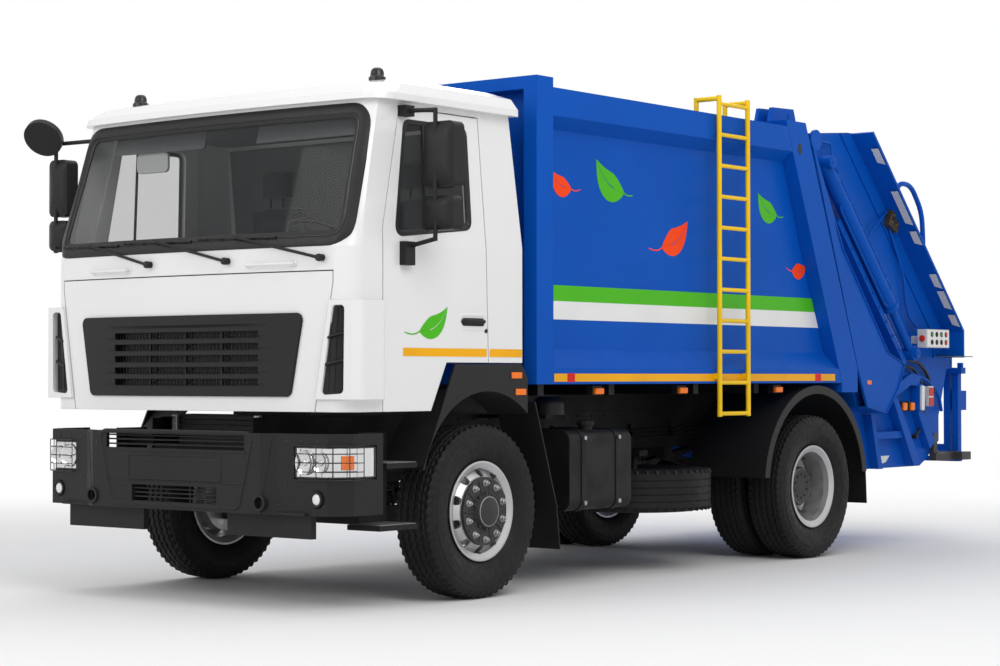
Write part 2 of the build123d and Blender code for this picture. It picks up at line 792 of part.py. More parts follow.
with BuildPart() as slat_skin:
    cab_form(-14, CAB_LOW - 10, 1800)
with BuildPart() as grille_void:
    cab_form(22, CAB_LOW - 10, 1800)
SLATS, SLAT_LOW, SLAT_PITCH = 6, 1262, 68
with BuildPart() as grille_slats:
    add(slat_skin.part)
    front_prism(GRILLE_OUTLINE, -1200, -1400, grow=-40, mode=Mode.INTERSECT)
    for slat in range(SLATS):
        slat_z = SLAT_LOW + slat * SLAT_PITCH
        block(-960, 960, -1400, -1283, slat_z, slat_z + 15, Mode.SUBTRACT)
        if slat < SLATS - 1:
            block(-600, 600, -1400, -1100, slat_z + 6, slat_z + 44, Mode.SUBTRACT)
with BuildPart() as grille:
    add(slat_skin.part)
    front_prism(GRILLE_OUTLINE, -1200, -1400, round_r=40, mode=Mode.INTERSECT)
    front_prism(GRILLE_OUTLINE, -1200, -1400, grow=-45, mode=Mode.SUBTRACT)
    add(grille_slats.part)
    for bar_x in (-300, 0, 300):
        block(bar_x - 6, bar_x + 6, -1280, -1266, 1255, 1620)
    add(grille_void.part, mode=Mode.SUBTRACT)
save(grille.part, "grille")

for name, sign in (("left", 1), ("right", -1)):
    x0, x1 = sorted((sign * 1150, sign * 1300))
    with BuildPart() as door:
        add(cab_solid.part)
        add(door_void.part, mode=Mode.SUBTRACT)
        outline_prism(DOOR_OUTLINE, x0, x1, mode=Mode.INTERSECT)
        outline_prism(WINDOW_OUTLINE, x0, x1, round_r=50, mode=Mode.SUBTRACT)
    save(door.part, name + "_door")
    with BuildPart() as door_glass:
        add(glass_skin.part)
        add(glass_void.part, mode=Mode.SUBTRACT)
        outline_prism(WINDOW_OUTLINE, x0, x1, round_r=50, mode=Mode.INTERSECT)
    save(door_glass.part, name + "_door_glass")


def mirror_head(x, y, z, width, height):
    """A rounded mirror housing whose front is at station y."""
    with BuildSketch(across(y)) as profile:
        with Locations((x, z)):
            RectangleRounded(width, height, 40)
    extrude(profile.sketch, amount=-90)


with BuildPart() as left_mirrors:
    block(1180, 1266, -775, -700, 2800, 2862)
    rod((1230, -740, 2832), (1438, -720, 2825), 13)
    rod((1438, -720, 2836), (1438, -720, 2084), 13)
    rod((1230, -750, 2050), (1438, -720, 2095), 13)
    block(1225, 1285, -800, -715, 1950, 2085)
    mirror_head(1455, -709, 2573, 225, 375)
    mirror_head(1445, -709, 2243, 225, 195)
    add(cab_solid.part, mode=Mode.SUBTRACT)
save(left_mirrors.part, "left_mirrors")

with BuildPart() as right_mirrors:
    rod((-1150, -960, 2800), (-1440, -1044, 2790), 13)
    rod((-1430, -1044, 2800), (-1430, -1044, 2100), 13)
    rod((-1180, -1044, 2120), (-1440, -1044, 2115), 13)
    mirror_head(-1418, -1037, 2510, 170, 360)
    mirror_head(-1418, -1037, 2210, 170, 190)
    rod((-1440, -1040, 2795), (-1440, -1130, 2830), 12)
    rod((-1446, -1122, 2836), (-1434, -1150, 2812), 125)
    add(cab_solid.part, mode=Mode.SUBTRACT)
save(right_mirrors.part, "right_mirrors")

with BuildPart() as wheel_arches:
    arch_outline = ((-598, 780), (-302, 1391), (324, 1394), (383, 1309), (383, 1000))
    slab(arch_outline, 1226, 1240)
    with BuildSketch(side(930)):
        with BuildLine():
            Polyline(arch_outline, close=True)
        make_face()
        with Locations((0, 630)):
            Circle(612, mode=Mode.INTERSECT)
    extrude(amount=300)
    disc(0, 630, 600, 900, 1300, Mode.SUBTRACT)
    both_sides()
save(wheel_arches.part, "wheel_arches")

with BuildPart() as wipers:
    for pivot_x, tip_x, heel_x in ((-290, -1140, -594), (357, -541, 53), (1056, 112, 718)):
        arm_x = (tip_x + heel_x) / 2
        pivot_y = screen_y(pivot_x, 1980)
        rod((pivot_x, pivot_y - 2, 1980), (pivot_x, pivot_y - 42, 1980), 20)
        rod((pivot_x, pivot_y - 34, 1980), (arm_x, screen_y(arm_x, 2110) - 24, 2116), 9)
        rod((tip_x, screen_y(tip_x, 2116) - 12, 2116), (heel_x, screen_y(heel_x, 2104) - 12, 2104), 9)
    add(cab_solid.part, mode=Mode.SUBTRACT)
save(wipers.part, "wipers")

with BuildPart() as cab_interior:
    block(-1140, 1140, -1140, -900, 1820, 2000)
    for seat_x in (-600, 600):
        block(seat_x - 250, seat_x + 250, -480, 40, CAB_FLOOR + 30, 1850)
        block(seat_x - 240, seat_x + 240, 40, 160, 1700, 2450)
        block(seat_x - 130, seat_x + 130, 50, 150, 2450, 2650)
    rod((600, -1000, 1700), (600, -760, 2080), 35)
save(cab_interior.part, "cab_interior")

with BuildPart() as steering_wheel:
    column = Vector(0, -240, -380).normalized()
    hub = Vector(600, FRONT_AXLE_Y - 750, 2096)
    wheel_plane = Plane(origin=hub, x_dir=(1, 0, 0), z_dir=-column)
    with BuildSketch(Plane(origin=hub, x_dir=(1, 0, 0), z_dir=wheel_plane.y_dir)):
        with Locations((215, -20)):
            Circle(15)
    revolve(axis=Axis(hub, -column))
    with BuildSketch(wheel_plane):
        Circle(55)
        Rectangle(420, 40)
    extrude(amount=30)
save(steering_wheel.part, "steering_wheel")

with BuildPart() as roof_beacons:
    for beacon_x in (-1000, 1000):
        post(beacon_x, -720, 52, 2990, 3042)
        post(beacon_x, -720, 42, 3042, 3080)
        post(beacon_x, -720, 26, 3080, 3102)
    add(cab_roof.part, mode=Mode.SUBTRACT)
save(roof_beacons.part, "roof_beacons")

# ---------------------------------------------------------------- tailgate

GATE_TOP = ((3712, 3105), (4600, 3175))
GATE_REAR = ((4660, 3175), (6135, 1690), (6135, 1475), (6300, 1475), (6300, 1385), (6200, 1380))
LIFTER_PIN = (6260, 1430)
HOPPER_FLOOR = (
    (6060, 1000),
    (6060, 800),
    (5830, 650),
    (5730, 605),
    (4790, 605),
    (4545, 1083),
    (4440, 1330),
)


def gate_front(z):
    """Station of the tailgate's front edge, a gap behind the container."""
    return rear_face(z) + GATE_GAP


slide_dir = (math.cos(math.radians(SLIDE_ANGLE)), -math.sin(math.radians(SLIDE_ANGLE)))


def along_slide(distance, off=0):
    """A point on the sliding carriage's line, up from its pin, and off to the rear."""
    y = SLIDE_PIN_Y - distance * slide_dir[0] - off * slide_dir[1]
    z = SLIDE_PIN_Z - distance * slide_dir[1] + off * slide_dir[0]
    return (y, z)


WALL_OUTLINE = (
    ((gate_front(3080) + 30, 3080),)
    + (GATE_TOP[1],)
    + GATE_REAR
    + HOPPER_FLOOR
    + ((gate_front(1376), 1376),)
)
with BuildPart() as tailgate_shell:
    slab(WALL_OUTLINE, GATE_WALL_X - SHEET, GATE_WALL_X)
    with BuildSketch(side(GATE_WALL_X - 20)):
        with BuildLine():
            Polyline(
                along_slide(-60, 50),
                along_slide(-60, -50),
                along_slide(470, -50),
                along_slide(470, 50),
                close=True,
            )
        make_face()
    extrude(amount=60, mode=Mode.SUBTRACT)
    rear_strip = ((4480, 3155), (4660, 3175), (6135, 1690), (6135, 1470), (5960, 1470), (5960, 1640))
    slab(rear_strip, 1050, 1062)
    rear_edge = ((4640, 3165), (4660, 3175), (6135, 1690), (6135, 1470), (6115, 1470), (6115, 1680))
    slab(rear_edge, 1062, 1245)
    slab(((3722, 3085), (3740, 3250), (3830, 3250), (3880, 3130), (3900, 3095)), 945, 1000)
    disc(HINGE_Y, HINGE_Z, 32, 895, 1045)
    slab(((4815, 1028), (4855, 1028), (5000, 605), (4930, 605)), GATE_WALL_X, 1125)
    slab(((4870, 835), (5430, 835), (5430, 890), (4850, 890)), GATE_WALL_X, 1110)
    slab(((5150, 1150), (5230, 1150), (5590, 645), (5490, 615)), GATE_WALL_X, 1130)
    slab(((5560, 1080), (5640, 1080), (5880, 800), (5790, 740)), GATE_WALL_X, 1115)
    elbow = ((5150, 1215), (5480, 1345), (5640, 1320), (5600, 1240), (5470, 1250), (5190, 1150))
    slab(elbow, GATE_WALL_X, 1120)
    with BuildSketch(side(GATE_WALL_X)):
        with BuildLine():
            Polyline(
                along_slide(0, -90),
                along_slide(0, -145),
                along_slide(1480, -145),
                along_slide(1480, -90),
                close=True,
            )
        make_face()
    extrude(amount=95)
    slab(((3880, 3085), (3990, 3100), (4120, 2960), (4000, 2950)), GATE_WALL_X, 1090)
    disc(*LIFTER_PIN, 24.05, 1030, 1140, Mode.SUBTRACT)
    both_sides()
    slab(((3722, 3085), (4600, 3165), (4600, 3175), (3722, 3095)), -1042, 1042)
    slab(((4600, 3165), (4650, 3165), (5330, 2487), (5330, 2500), (4660, 3175), (4600, 3175)), -1042, 1042)
save(tailgate_shell.part, "tailgate_shell")

HOPPER_SHEET = (
    (4440, 1330),
    (4545, 1083),
    (4790, 605),
    (5730, 605),
    (5830, 650),
    (6060, 800),
    (6060, 1000),
    (6200, 1380),
)
with BuildPart() as hopper:
    with BuildSketch(side(-GATE_WALL_X + SHEET)):
        with BuildLine():
            outer = Polyline(HOPPER_SHEET)
            inner = Polyline(
                (6190, 1380),
                (6050, 1003),
                (6050, 806),
                (5825, 660),
                (5728, 615),
                (4797, 615),
                (4553, 1088),
                (4448, 1333),
            )
            Line(outer @ 1, inner @ 0)
            Line(inner @ 1, outer @ 0)
        make_face()
    extrude(amount=2 * (GATE_WALL_X - SHEET))
save(hopper.part, "hopper")

SIDE_PLATE = (
    (gate_front(3080) + 30, 3080),
    (3760, 3000),
    (4196, 2260),
    (4877, 1501),
    (5139, 1413),
    (5029, 1217),
    (4838, 1034),
    (4545, 1083),
    (gate_front(1376), 1376),
)
with BuildPart() as tailgate_sides:
    slab(SIDE_PLATE, GATE_WALL_X, BODY_HALF)
    slab(
        (
            (3600, 3100),
            (3730, 3000),
            (4182, 2255),
            (4860, 1495),
            (5120, 1405),
            (5018, 1227),
            (4834, 1046),
            (4500, 1100),
            (4300, 1376),
        ),
        WALL_X,
        BODY_HALF - 20,
        Mode.SUBTRACT,
    )
    disc(3805, 3040, 75, BODY_HALF - 20, BODY_HALF)
    slab(
        (
            (4050, 2480),
            (4190, 2255),
            (4870, 1498),
            (5128, 1408),
            (5022, 1222),
            (4836, 1040),
            (4600, 1080),
            (gate_front(1376) + 110, 1376),
        ),
        BODY_HALF - 10,
        BODY_HALF + 10,
        Mode.SUBTRACT,
    )
    both_sides()
save(tailgate_sides.part, "tailgate_sides")

slide_anchor = along_slide(1945)
with BuildPart() as slide_tubes:
    tube_low = along_slide(480)
    rod((1150, *slide_anchor), (1150, *tube_low), 58)
    rod((1150, *along_slide(520)), (1150, *tube_low), 66)
    disc(*slide_anchor, 50, 1062, 1230)
    rod((1150, *along_slide(440)), (1150, *along_slide(1500)), 32.05, Mode.SUBTRACT)
    both_sides()
save(slide_tubes.part, "slide_tubes")

BLADE_HINGE = along_slide(-95)
with BuildPart() as carriage:
    with BuildSketch(side(-1030)):
        with BuildLine():
            Polyline(
                along_slide(-40, 40),
                along_slide(-40, -40),
                along_slide(1000, -40),
                along_slide(1000, 0),
                close=True,
            )
        make_face()
    extrude(amount=2060)
    for cheek_x in (-1030, 1024):
        with BuildSketch(side(cheek_x)) as cheek:
            with BuildLine():
                Polyline(
                    along_slide(60, 40),
                    along_slide(-140, 40),
                    along_slide(-140, -40),
                    along_slide(60, -40),
                    close=True,
                )
            make_face()
        extrude(amount=6)
    disc(*BLADE_HINGE, 20, -1030, -960)
    disc(*BLADE_HINGE, 20, 960, 1030)
    disc(SLIDE_PIN_Y, SLIDE_PIN_Z, 40, -1205, 1205)
    for rod_x in (-1150, 1150):
        rod((rod_x, SLIDE_PIN_Y, SLIDE_PIN_Z), (rod_x, *along_slide(960)), 32)
        disc(SLIDE_PIN_Y, SLIDE_PIN_Z, 60, rod_x - 40, rod_x + 40)
save(carriage.part, "carriage")

with BuildPart() as packer_blade:
    blade_y, blade_z = BLADE_HINGE
    disc(blade_y, blade_z, 42, -1020, 1020)
    slab(
        (
            (blade_y - 30, blade_z - 20),
            (blade_y + 30, blade_z - 20),
            (blade_y - 250, blade_z - 560),
            (blade_y - 330, blade_z - 520),
        ),
        -1020,
        1020,
    )
    disc(*BLADE_HINGE, 20.05, -1030, -955, Mode.SUBTRACT)
    disc(*BLADE_HINGE, 20.05, 955, 1030, Mode.SUBTRACT)
save(packer_blade.part, "packer_blade")

LIFT_LOW = (4830, 1130)
LIFT_TOP = (3600, 2960)
with BuildPart() as lift_tubes:
    lift_span = Vector(LIFT_LOW[0] - LIFT_TOP[0], LIFT_LOW[1] - LIFT_TOP[1]).length
    lift_y = (LIFT_LOW[0] - LIFT_TOP[0]) / lift_span
    lift_z = (LIFT_LOW[1] - LIFT_TOP[1]) / lift_span
    tube_end = (LIFT_TOP[0] + 1500 * lift_y, LIFT_TOP[1] + 1500 * lift_z)
    bore_start = (LIFT_TOP[0] + 200 * lift_y, LIFT_TOP[1] + 200 * lift_z)
    bore_end = (LIFT_TOP[0] + 1600 * lift_y, LIFT_TOP[1] + 1600 * lift_z)
    rod((1190, *LIFT_TOP), (1190, *tube_end), 33)
    disc(*LIFT_TOP, 44, 1157, 1223)
    rod((1190, *bore_start), (1190, *bore_end), 20.05, Mode.SUBTRACT)
    both_sides()
save(lift_tubes.part, "lift_tubes")

with BuildPart() as lift_rods:
    rod_start = (LIFT_TOP[0] + 900 * lift_y, LIFT_TOP[1] + 900 * lift_z)
    rod((1190, *rod_start), (1190, *LIFT_LOW), 20)
    disc(*LIFT_LOW, 34, 1160, 1220)
    both_sides()
save(lift_rods.part, "lift_rods")

with BuildPart() as rear_step:
    block(960, 1180, 6210, 6370, 640, 705)
    block(GATE_WALL_X, 1110, 5900, 6210, 640, 700)
    block(GATE_WALL_X, 1090, 5900, 5960, 700, 860)
    both_sides()
save(rear_step.part, "rear_step")

with BuildPart() as control_box:
    block(1160, 1240, 5500, 5880, 1545, 1690)
    block(GATE_WALL_X, 1160, 5600, 5660, 1580, 1640)
save(control_box.part, "control_box")

with BuildPart() as tail_lamps:
    block(GATE_WALL_X, 1110, 5780, 5860, 1080, 1240)
    both_sides()
save(tail_lamps.part, "tail_lamps")

LIFTER_Y = 6390
with BuildPart() as bin_lifter:
    for post_x in (925, 1000):
        block(post_x, post_x + 55, LIFTER_Y, LIFTER_Y + 60, 640, 1345)
        block(-post_x - 55, -post_x, LIFTER_Y, LIFTER_Y + 60, 640, 1345)
    block(-925, 925, LIFTER_Y, LIFTER_Y + 60, 700, 760)
    block(-1060, 1060, LIFTER_Y, LIFTER_Y + 60, 620, 660)
    block(-1090, 1090, LIFTER_Y - 10, LIFTER_Y + 70, 1340, 1390)
    for tooth in range(15):
        tooth_x = -1050 + tooth * 150
        block(tooth_x - 20, tooth_x + 20, LIFTER_Y + 40, LIFTER_Y + 70, 1390, 1430)
    disc(*LIFTER_PIN, 24, -1046, 1046)
    for arm_x in (-900, 860):
        block(arm_x, arm_x + 40, LIFTER_PIN[0], LIFTER_Y, 1345, 1430)
        block(arm_x, arm_x + 40, LIFTER_Y - 10, LIFTER_Y + 40, 1390, 1430)
    for latch_x in (-1045, 985):
        block(latch_x, latch_x + 60, LIFTER_Y + 60, LIFTER_Y + 170, 1040, 1200)
save(bin_lifter.part, "bin_lifter")
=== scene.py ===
# %% [markdown]
# # A garbage truck, dressed for its portrait
# A imported CAD model already stands at the origin: every panel, wheel and ram is in its real place
# and at its real size. This notebook gives each of them a finish and adds the small parts that CAD
# left out. The first step loads that model. Nothing that is added here may reach outside it.

# %% Load the model
import math

import bmesh
import bpy
from mathutils import Matrix, Vector


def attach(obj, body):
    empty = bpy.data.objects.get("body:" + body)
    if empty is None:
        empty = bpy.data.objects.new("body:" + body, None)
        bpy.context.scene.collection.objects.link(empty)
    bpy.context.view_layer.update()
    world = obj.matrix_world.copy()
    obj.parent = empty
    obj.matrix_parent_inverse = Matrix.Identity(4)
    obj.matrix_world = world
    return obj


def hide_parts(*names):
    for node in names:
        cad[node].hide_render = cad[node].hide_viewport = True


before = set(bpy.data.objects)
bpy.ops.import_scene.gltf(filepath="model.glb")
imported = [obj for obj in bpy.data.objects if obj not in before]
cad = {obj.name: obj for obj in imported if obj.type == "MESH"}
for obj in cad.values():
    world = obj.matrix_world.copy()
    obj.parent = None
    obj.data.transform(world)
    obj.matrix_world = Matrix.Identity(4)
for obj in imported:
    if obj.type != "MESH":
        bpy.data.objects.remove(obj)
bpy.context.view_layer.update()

# %% [markdown]
# ## Stations
# A truck builder measures along the chassis from the front axle. The helper below turns such a
# station into the model's own Y, so that every place in this file can be given the way it would be
# on a drawing: x to the truck's left, y back from the front axle, z up from the ground.

# %% Stations
FRONT_AXLE_Y = -2.58
WHEELBASE = 3.82
AXLE_Z = 0.518
SIDES = (("left", 1), ("right", -1))


def at(x, y, z):
    """A point from its station."""
    return Vector((x, y + FRONT_AXLE_Y, z))


print("rear axle at", tuple(at(0, WHEELBASE, AXLE_Z)))

# %% [markdown]
# ## Camera
# A long lens from far away keeps a big vehicle's lines nearly parallel.
# The camera stands to the front left at the height of a sitting person, and looks up by about one
# degree, which keeps upright edges almost upright. Rotation mode QUATERNION with an aim point is one
# way; plain Euler angles are easier to read here.

# %% Camera
CAMERA_STATION = (9.578, -10.358, 1.316)
LOOK_UP, ROLL, TURN = 1.123, 0.03, 38.53
LENS_MM, SENSOR_MM = 80.56, 36
camera = bpy.data.objects.new("camera", bpy.data.cameras.new("camera"))
bpy.context.scene.collection.objects.link(camera)
camera.location = at(*CAMERA_STATION)
camera.rotation_euler = (math.radians(90 + LOOK_UP), math.radians(ROLL), math.radians(TURN))
camera.data.lens = LENS_MM
camera.data.sensor_width = SENSOR_MM
camera.data.clip_end = 200
bpy.context.scene.camera = camera
print("camera at", tuple(round(v, 3) for v in camera.location))

# %% [markdown]
# ## Nodes by name
# Materials, sky and node groups are all made of nodes. Written out, each takes a line to make it,
# one for every value and one for every wire. These helpers make a node and feed its inputs by name
# in one call: a socket is wired in, and a number or a colour becomes the input's own value.

# %% Node helpers


def feed(target, value):
    """Wires a socket into an input, or sets the input to a number or a colour."""
    if isinstance(value, bpy.types.NodeSocket):
        target.id_data.links.new(value, target)
    else:
        target.default_value = value


def new_node(tree, kind, **inputs):
    """A node with its inputs fed by name, where an underscore stands for a space."""
    node = tree.nodes.new("ShaderNode" + kind)
    for label, value in inputs.items():
        feed(node.inputs[label.replace("_", " ")], value)
    return node


def math_node(tree, operation, a, b, clamp=False):
    """The result of a Math node whose inputs may be sockets or numbers."""
    node = tree.nodes.new("ShaderNodeMath")
    node.operation, node.use_clamp = operation, clamp
    feed(node.inputs[0], a)
    feed(node.inputs[1], b)
    return node.outputs[0]


def ramp(tree, value, low, high, to_low=0.0, to_high=1.0):
    """A smooth Map Range from low..high to to_low..to_high."""
    node = new_node(tree, "MapRange", Value=value, From_Min=low, From_Max=high, To_Min=to_low, To_Max=to_high)
    node.interpolation_type = "SMOOTHSTEP"
    return node.outputs["Result"]


def object_place(tree):
    """The coordinates of the object itself, which move along with it."""
    return new_node(tree, "TexCoord").outputs["Object"]


print("node helpers ready")

# %% [markdown]
# ## Floor, sky and lamps
# A plain studio has a white ground that fades into a white background and keeps only the
# shadow. The floor is an ordinary pale surface near the truck; a soft mask measured from the middle
# of the floor turns it into plain white farther out. The Light Path node limits that white to what
# the camera and mirrors see, so it adds no light of its own to the truck.

# %% Floor and sky
SKY_STRENGTH = 0.42
WHITE = (1, 1, 1, 1)
FLOOR_REACH = 60
FADE_FROM, FADE_TO = 4.5, 11
scene = bpy.context.scene
scene.view_settings.view_transform = "Standard"


def oblong(u0, u1, v0, v1):
    """The corners of an upright rectangle."""
    return [(u0, v0), (u1, v0), (u1, v1), (u0, v1)]


def blend(tree, mask, under, over, output):
    """Sends two mixed shaders to an output node, over where the mask is 1."""
    node = new_node(tree, "MixShader", Fac=mask)
    feed(node.inputs[1], under.outputs[0])
    feed(node.inputs[2], over.outputs[0])
    feed(tree.nodes[output].inputs["Surface"], node.outputs[0])


world = bpy.data.worlds.new("studio")
scene.world = world
world.use_nodes = True
tree = world.node_tree
ray = new_node(tree, "LightPath").outputs
seen = math_node(tree, "MAXIMUM", ray["Is Camera Ray"], ray["Is Glossy Ray"])
seen = math_node(tree, "MAXIMUM", seen, ray["Is Transmission Ray"])
sky = tree.nodes["Background"]
feed(sky.inputs["Color"], WHITE)
feed(sky.inputs["Strength"], SKY_STRENGTH)
blend(tree, seen, sky, new_node(tree, "Background", Color=WHITE, Strength=1.0), "World Output")

floor_mesh = bpy.data.meshes.new("floor")
corners = oblong(-FLOOR_REACH, FLOOR_REACH, -FLOOR_REACH, FLOOR_REACH)
floor_mesh.from_pydata([(x, y, 0) for x, y in corners], [], [(0, 1, 2, 3)])
floor = bpy.data.objects.new("floor", floor_mesh)
scene.collection.objects.link(floor)
floor.location.z = -0.002
floor_paint = bpy.data.materials.new("floor")
floor_paint.use_nodes = True
tree = floor_paint.node_tree
pale = tree.nodes["Principled BSDF"]
feed(pale.inputs["Base Color"], (0.86, 0.86, 0.86, 1))
feed(pale.inputs["Roughness"], 0.9)
distance = tree.nodes.new("ShaderNodeVectorMath")
distance.operation = "LENGTH"
feed(distance.inputs[0], object_place(tree))
fade = ramp(tree, distance.outputs["Value"], FADE_FROM, FADE_TO)
blend(tree, fade, pale, new_node(tree, "Emission"), "Material Output")
floor_mesh.materials.append(floor_paint)
print("floor and sky ready")


# %% Lamps
def lamp(name, place, size, power, aim=(0, 0, 1.5)):
    """A big soft lamp that points at the truck."""
    data = bpy.data.lights.new(name, "AREA")
    data.shape = "RECTANGLE"
    data.size, data.size_y = size
    data.energy = power
    made = bpy.data.objects.new(name, data)
    scene.collection.objects.link(made)
    made.location = place
    made.rotation_euler = (Vector(place) - Vector(aim)).to_track_quat("Z", "Y").to_euler()


lamp("key", (9, -6, 9), (7, 7), 600)
lamp("front", (-2, -12, 6), (8, 5), 330)
lamp("top", (0, 0, 11), (10, 12), 380, aim=(0, 0, 0))
lamp("back", (-6, 10, 7), (8, 5), 420)
print("lamps:", len(bpy.data.lights))

# %% [markdown]
# ## Grain, one group for every finish
# No real surface has a single roughness. Paint has orange peel, plastic has a moulded grain and
# steel has tool marks. A node group with named inputs can give all of them: the roughness wanders
# between two values, and a height comes out for a Bump node. Building it once and placing it in
# each material keeps the values readable.

# %% Grain group
FLOAT = "NodeSocketFloat"


def new_group(name, inputs, outputs):
    """An empty node group with float inputs (name, default) and outputs (name, socket type)."""
    tree = bpy.data.node_groups.new(name, "ShaderNodeTree")
    for label, value in inputs:
        made = tree.interface.new_socket(label, in_out="INPUT", socket_type=FLOAT)
        made.default_value = value
    for label, kind in outputs:
        tree.interface.new_socket(label, in_out="OUTPUT", socket_type=kind)
    return tree, tree.nodes.new("NodeGroupInput").outputs, tree.nodes.new("NodeGroupOutput").inputs


def noise(tree, scale, detail=3.0, stretch=None):
    """A noise field over the object's own coordinates, stretched where asked."""
    coords = object_place(tree)
    if stretch:
        coords = new_node(tree, "Mapping", Scale=stretch, Vector=coords).outputs["Vector"]
    return new_node(tree, "TexNoise", Scale=scale, Detail=detail, Vector=coords).outputs["Fac"]


grain_group, given, out = new_group("grain", (("Scale", 60.0), ("Low", 0.3), ("High", 0.5)),
                                    (("Roughness", FLOAT), ("Height", FLOAT), ("Mottle", FLOAT)))
wander = noise(grain_group, math_node(grain_group, "MULTIPLY", given["Scale"], 0.07))
feed(out["Roughness"], ramp(grain_group, wander, 0.3, 0.7, given["Low"], given["High"]))
feed(out["Height"], noise(grain_group, given["Scale"], 2.0))
feed(out["Mottle"], ramp(grain_group, noise(grain_group, 1.7, 4.0), 0.35, 0.7))
print("group:", grain_group.name)

# %% [markdown]
# ## Road dust
# A truck is cleanest at eye height and dustiest near the road, where spray dries on it. The mask
# fades out with height above the ground and is broken up by noise and by faint vertical runs,
# because water carries the dust down. Object coordinates are the truck's own here, so the dust
# stays on its panel when a door or the tailgate moves.

# %% Dust group
dust_group, given, out = new_group("road dust", (("Reach", 1.6), ("Amount", 0.3)), (("Mask", FLOAT),))
split = new_node(dust_group, "SeparateXYZ", Vector=object_place(dust_group))
low_down = ramp(dust_group, split.outputs["Z"], 0.1, given["Reach"], 1.0, 0.12)
patches = ramp(dust_group, noise(dust_group, 2.3, 6.0), 0.35, 0.75, 0.25, 1.0)
runs = ramp(dust_group, noise(dust_group, 9.0, 3.0, (1, 1, 0.09)), 0.4, 0.8, 0.55, 1.0)
mask = math_node(dust_group, "MULTIPLY", math_node(dust_group, "MULTIPLY", low_down, patches), runs)
feed(out["Mask"], math_node(dust_group, "MULTIPLY", mask, given["Amount"], True))
print("group:", dust_group.name)

# %% [markdown]
# ## Soft, worn edges and painted edge highlights
# Every folded sheet and casting has a small radius that catches a line of light, and paint wears
# there first. The Bevel node rounds the normal near an edge without new geometry. Comparing that
# normal with the true one gives a mask of where the edges are, and noise breaks the mask up so
# that wear looks like knocks instead of an outline. Each finish lays its edge colour on by this
# mask: worn metal on most, and on the blue paint a lighter blue, which is a painted highlight.

# %% Edge group
edge_group, given, out = new_group("soft edges", (("Radius", 0.005), ("Amount", 0.3)),
                                   (("Normal", "NodeSocketVector"), ("Mask", FLOAT)))
rounded = new_node(edge_group, "Bevel", Radius=given["Radius"])
rounded.samples = 3
facing = edge_group.nodes.new("ShaderNodeVectorMath")
facing.operation = "DOT_PRODUCT"
feed(facing.inputs[0], rounded.outputs["Normal"])
feed(facing.inputs[1], new_node(edge_group, "NewGeometry").outputs["Normal"])
bent = ramp(edge_group, facing.outputs["Value"], 0.995, 0.9)
knocks = ramp(edge_group, noise(edge_group, 14.0, 5.0), 0.5, 0.68)
# The mask carries wear, and on the blue paint a painted edge highlight.
worn_and_highlit = math_node(edge_group, "MULTIPLY", bent, knocks)
feed(out["Normal"], rounded.outputs["Normal"])
feed(out["Mask"], math_node(edge_group, "MULTIPLY", worn_and_highlit, given["Amount"], True))
print("group:", edge_group.name)

# %% [markdown]
# ## One recipe, many finishes
# Paint, plastic, rubber and bare steel differ in numbers more than in structure. The recipe mixes
# the colour with a slightly darker one by the mottle mask, then with the edge colour by the edge
# mask, which is bare metal worn through on most finishes and a lighter blue on the blue paint, a
# painted highlight on its edges. Then it mixes in dust and bumps the surface with the grain. Coat,
# sheen and metallic stay plain numbers on the shader itself.

# %% Finish recipe
FINISHES = {}
FINISH_SLOT = {}
DUST_COLOUR = (0.30, 0.27, 0.23)
DUST_MATT = 0.4


def new_material(name, slot):
    """A new material, noted with its slot: its node tree and its shader."""
    made = bpy.data.materials.new(name)
    made.use_nodes = True
    FINISHES[name], FINISH_SLOT[name] = made, slot
    return made.node_tree, made.node_tree.nodes["Principled BSDF"]


def mix_colour(tree, mask, under, over):
    """Over laid on under where the mask is 1."""
    node = tree.nodes.new("ShaderNodeMix")
    node.data_type = "RGBA"
    for label, value in (("Factor", mask), ("A", under), ("B", over)):
        feed(node.inputs[label], (*value, 1) if isinstance(value, tuple) else value)
    return node.outputs["Result"]


def place_group(tree, group, **values):
    """Puts a group into a material with its own values, and gives its outputs."""
    node = tree.nodes.new("ShaderNodeGroup")
    node.node_tree = group
    for label, value in values.items():
        feed(node.inputs[label], value)
    return node.outputs


def finish(name, colour, rough, slot=None, scale=60.0, bump=0.1, depth=0.001, shade=0.85, dust=0.25,
           reach=1.6, edge_wear_and_highlight=0.0, radius=0.004, edge_wear_and_highlight_colour=(0.25, 0.25, 0.26), pattern=None, **sockets):
    """A material from the recipe; sockets are plain values on the Principled BSDF."""
    tree, shader = new_material(name, slot)
    grain = place_group(tree, grain_group, Scale=scale, Low=rough[0], High=rough[1])
    tone = mix_colour(tree, grain["Mottle"], colour, tuple(c * shade for c in colour))
    height = grain["Height"]
    if pattern:
        tone, height = pattern(tree, tone)
    # Edge colour by the edge mask: worn metal, and on the blue paint a lighter blue that is a painted
    # highlight.
    edges = place_group(tree, edge_group, Radius=radius, Amount=edge_wear_and_highlight)
    tone = mix_colour(tree, edges["Mask"], tone, edge_wear_and_highlight_colour)
    dusty = place_group(tree, dust_group, Reach=reach, Amount=dust)
    feed(shader.inputs["Base Color"], mix_colour(tree, dusty["Mask"], tone, DUST_COLOUR))
    chalk = math_node(tree, "MULTIPLY", dusty["Mask"], DUST_MATT)
    feed(shader.inputs["Roughness"], math_node(tree, "ADD", grain["Roughness"], chalk, True))
    relief = new_node(tree, "Bump", Strength=bump, Distance=depth, Height=height, Normal=edges["Normal"])
    feed(shader.inputs["Normal"], relief.outputs["Normal"])
    for label, value in sockets.items():
        feed(shader.inputs[label.replace("_", " ")], value)


